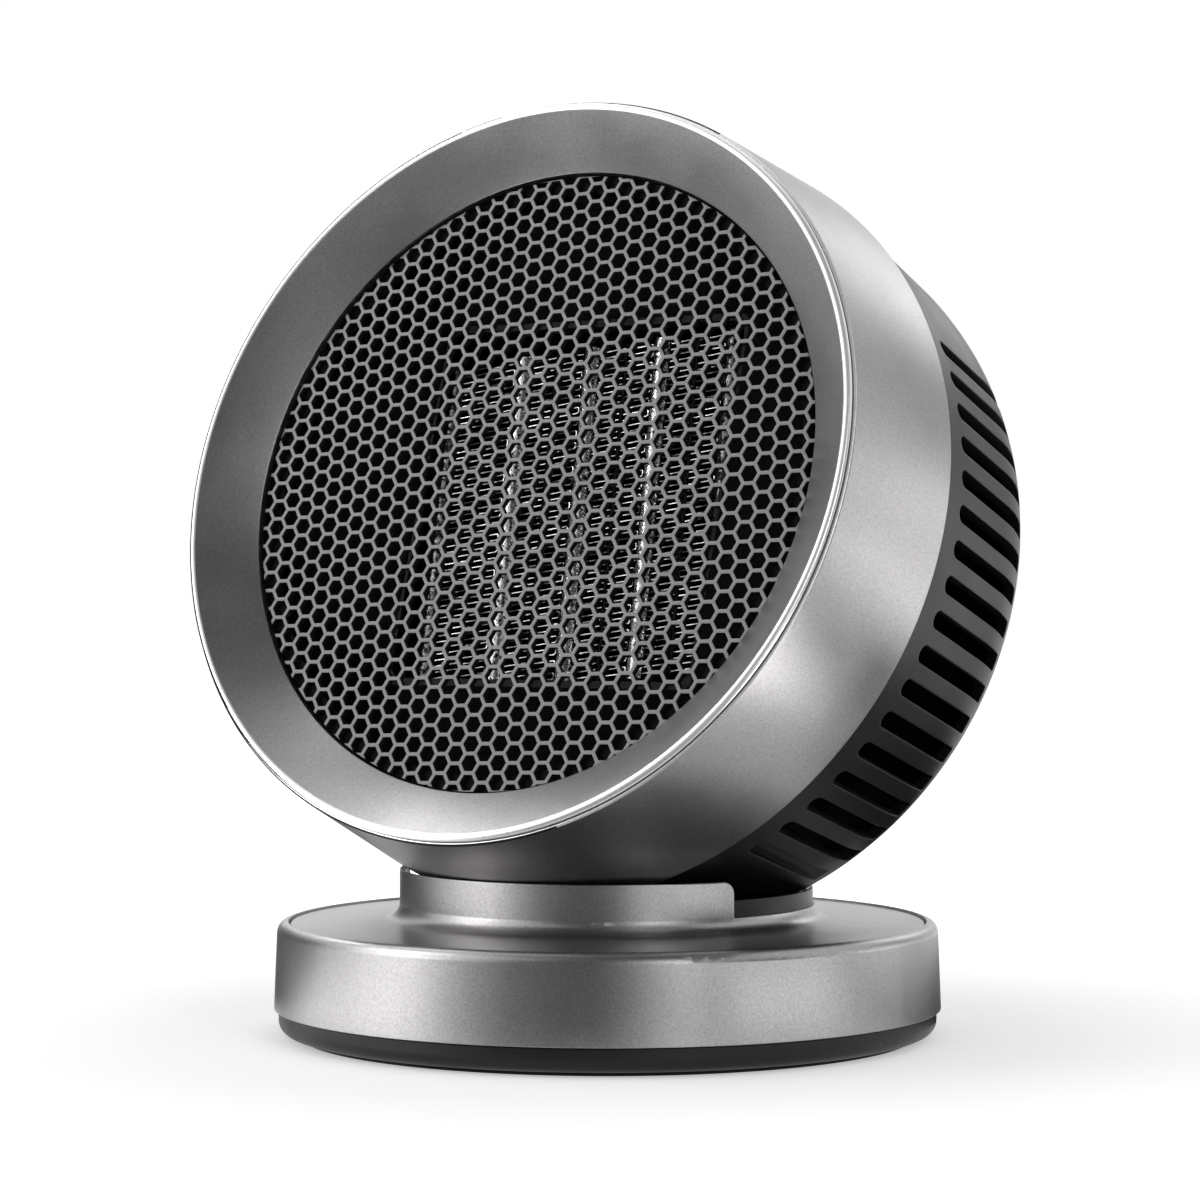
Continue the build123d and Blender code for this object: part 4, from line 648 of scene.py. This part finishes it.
glow = nodes.new("ShaderNodeEmission")
level = nodes.new("ShaderNodeMath")
level.operation = "MULTIPLY"
place = nodes.new("ShaderNodeTexCoord")
away = nodes.new("ShaderNodeVectorMath")
away.operation = "LENGTH"
rise = nodes.new("ShaderNodeMapRange")
rise.inputs["From Min"].default_value = GLOW_NEAR
rise.inputs["From Max"].default_value = GLOW_FAR
rise.inputs["To Min"].default_value = FLOOR_GLOW
rise.inputs["To Max"].default_value = FLOOR_GLOW_FAR
links.new(place.outputs["Object"], away.inputs[0])
links.new(away.outputs["Value"], rise.inputs["Value"])
links.new(rise.outputs["Result"], level.inputs[1])
links.new(seen_directly(nodes, links), level.inputs[0])
links.new(level.outputs[0], glow.inputs["Strength"])
links.new(matte.outputs[0], total.inputs[0])
links.new(glow.outputs[0], total.inputs[1])
links.new(total.outputs[0], output.inputs["Surface"])
floor_mesh.materials.append(floor_material)

# World, white to the camera and to reflections, and a plain fill elsewhere
WORLD_FILL = 0.55
world = bpy.data.worlds.new("world")
world.use_nodes = True
bpy.context.scene.world = world
nodes, links = world.node_tree.nodes, world.node_tree.links
nodes.clear()
output = nodes.new("ShaderNodeOutputWorld")
white = nodes.new("ShaderNodeBackground")
white.inputs["Color"].default_value = (1, 1, 1, 1)
strength = nodes.new("ShaderNodeMapRange")
strength.inputs["To Min"].default_value = WORLD_FILL
strength.inputs["To Max"].default_value = 1.0
links.new(seen_directly(nodes, links), strength.inputs["Value"])
links.new(strength.outputs["Result"], white.inputs["Strength"])
links.new(white.outputs[0], output.inputs["Surface"])

# What the lamps and upright cards face, and how far floor cards lie above the floor
AIM = Vector((0, 0, 0.13))
FLOOR_CARD_LIFT = 0.002


def stand(azimuth, elevation, distance):
    """A place round the heater, and the rotation that faces it from there."""
    a, e = math.radians(azimuth), math.radians(elevation)
    back = Vector((math.sin(a) * math.cos(e), -math.cos(a) * math.cos(e), math.sin(e)))
    return AIM + back * distance, (-back).to_track_quat("-Z", "Y").to_euler()


def softbox(name, azimuth, elevation, distance, width, height, radiance):
    """A rectangular lamp facing the heater, unseen by the camera."""
    data = bpy.data.lights.new(name, "AREA")
    data.shape = "RECTANGLE"
    data.size = width
    data.size_y = height
    data.energy = radiance * math.pi * width * height
    lamp = bpy.data.objects.new(name, data)
    lamp.location, lamp.rotation_euler = stand(azimuth, elevation, distance)
    lamp.visible_camera = False
    bpy.context.scene.collection.objects.link(lamp)


def upright_card(name, azimuth, elevation, distance, width, height, grey):
    """A card that only reflections see, dark or bright, as a studio uses to shade metal."""
    w, h = width / 2, height / 2
    card = add_card(name, [(-w, -h, 0), (w, -h, 0), (w, h, 0), (-w, h, 0)], grey)
    card.location, card.rotation_euler = stand(azimuth, elevation, distance)


def floor_card(name, first, last, near, far, grey):
    """A card lying round the heater between two azimuths and two distances."""
    corners = []
    for azimuth, distance in ((first, near), (last, near), (last, far), (first, far)):
        a = math.radians(azimuth)
        corners.append((distance * math.sin(a), -distance * math.cos(a), FLOOR_CARD_LIFT))
    add_card(name, corners, grey)


def add_card(name, corners, grey):
    """A four-cornered card seen by reflections only."""
    mesh = bpy.data.meshes.new(name)
    mesh.from_pydata(corners, [], [(0, 1, 2, 3)])
    card = bpy.data.objects.new(name, mesh)
    for flag in ("visible_camera", "visible_diffuse", "visible_transmission", "visible_shadow",
                 "visible_volume_scatter"):
        setattr(card, flag, False)
    bpy.context.scene.collection.objects.link(card)
    paint = bpy.data.materials.new(name)
    paint.use_nodes = True
    tree = paint.node_tree
    tree.nodes.clear()
    end = tree.nodes.new("ShaderNodeOutputMaterial")
    lit = tree.nodes.new("ShaderNodeEmission")
    lit.inputs["Strength"].default_value = grey
    tree.links.new(lit.outputs[0], end.inputs["Surface"])
    mesh.materials.append(paint)
    return card


# Each lamp's azimuth, elevation, distance, width, height and radiance
softbox("left_box", -47, 16, 1.6, 0.75, 1.2, 2.0)
softbox("right_strip", 57, 12, 1.6, 0.14, 1.3, 5.5)
softbox("back_box", 177, 24, 1.8, 0.6, 0.45, 1.6)
softbox("top_box", 0, 88, 2.6, 1.0, 1.0, 0.8)

# Each upright card's azimuth, elevation, distance, width, height and grey
upright_card("left_glow", -37, 3, 1.5, 0.55, 0.7, 4.8)
upright_card("bar_glow", -54, 37, 1.5, 0.42, 0.45, 9.0)
upright_card("crown_glow", -116, 47, 1.6, 0.75, 0.85, 6.5)
upright_card("low_glow", 141, 2, 1.8, 0.55, 0.35, 2.4)
upright_card("left_card", -106, 5, 2.2, 2.0, 1.0, 0.02)
upright_card("front_card", 20, 12, 2.6, 2.3, 1.5, 0.05)
upright_card("canopy", 42, 57, 2.4, 2.9, 3.3, 0.10)
upright_card("right_card", 92, 8, 2.4, 1.2, 1.4, 0.05)
upright_card("gap_card", 156, 17, 2.4, 0.7, 0.7, 0.45)

# Each floor card's first and last azimuth, near and far distance and grey
floor_card("front_floor", -12, 42, 0.13, 1.6, 0.14)
floor_card("strip_floor", 42, 62, 0.13, 0.36, 0.30)
floor_card("left_floor", -48, -12, 0.32, 0.8, 0.05)
floor_card("left_floor_2", -78, -48, 0.36, 1.4, 0.08)
floor_card("left_floor_3", -125, -70, 0.13, 2.2, 0.04)
floor_card("left_near_floor", -64, -22, 0.13, 0.30, 2.8)
floor_card("right_near_floor", 66, 98, 0.17, 0.34, 4.2)
floor_card("right_far_floor", 62, 112, 0.37, 1.5, 0.05)
floor_card("low_floor", 116, 140, 0.45, 1.0, 2.8)
floor_card("behind_floor", 104, 200, 0.12, 0.40, 0.02)

bpy.context.scene.view_settings.view_transform = "Standard"
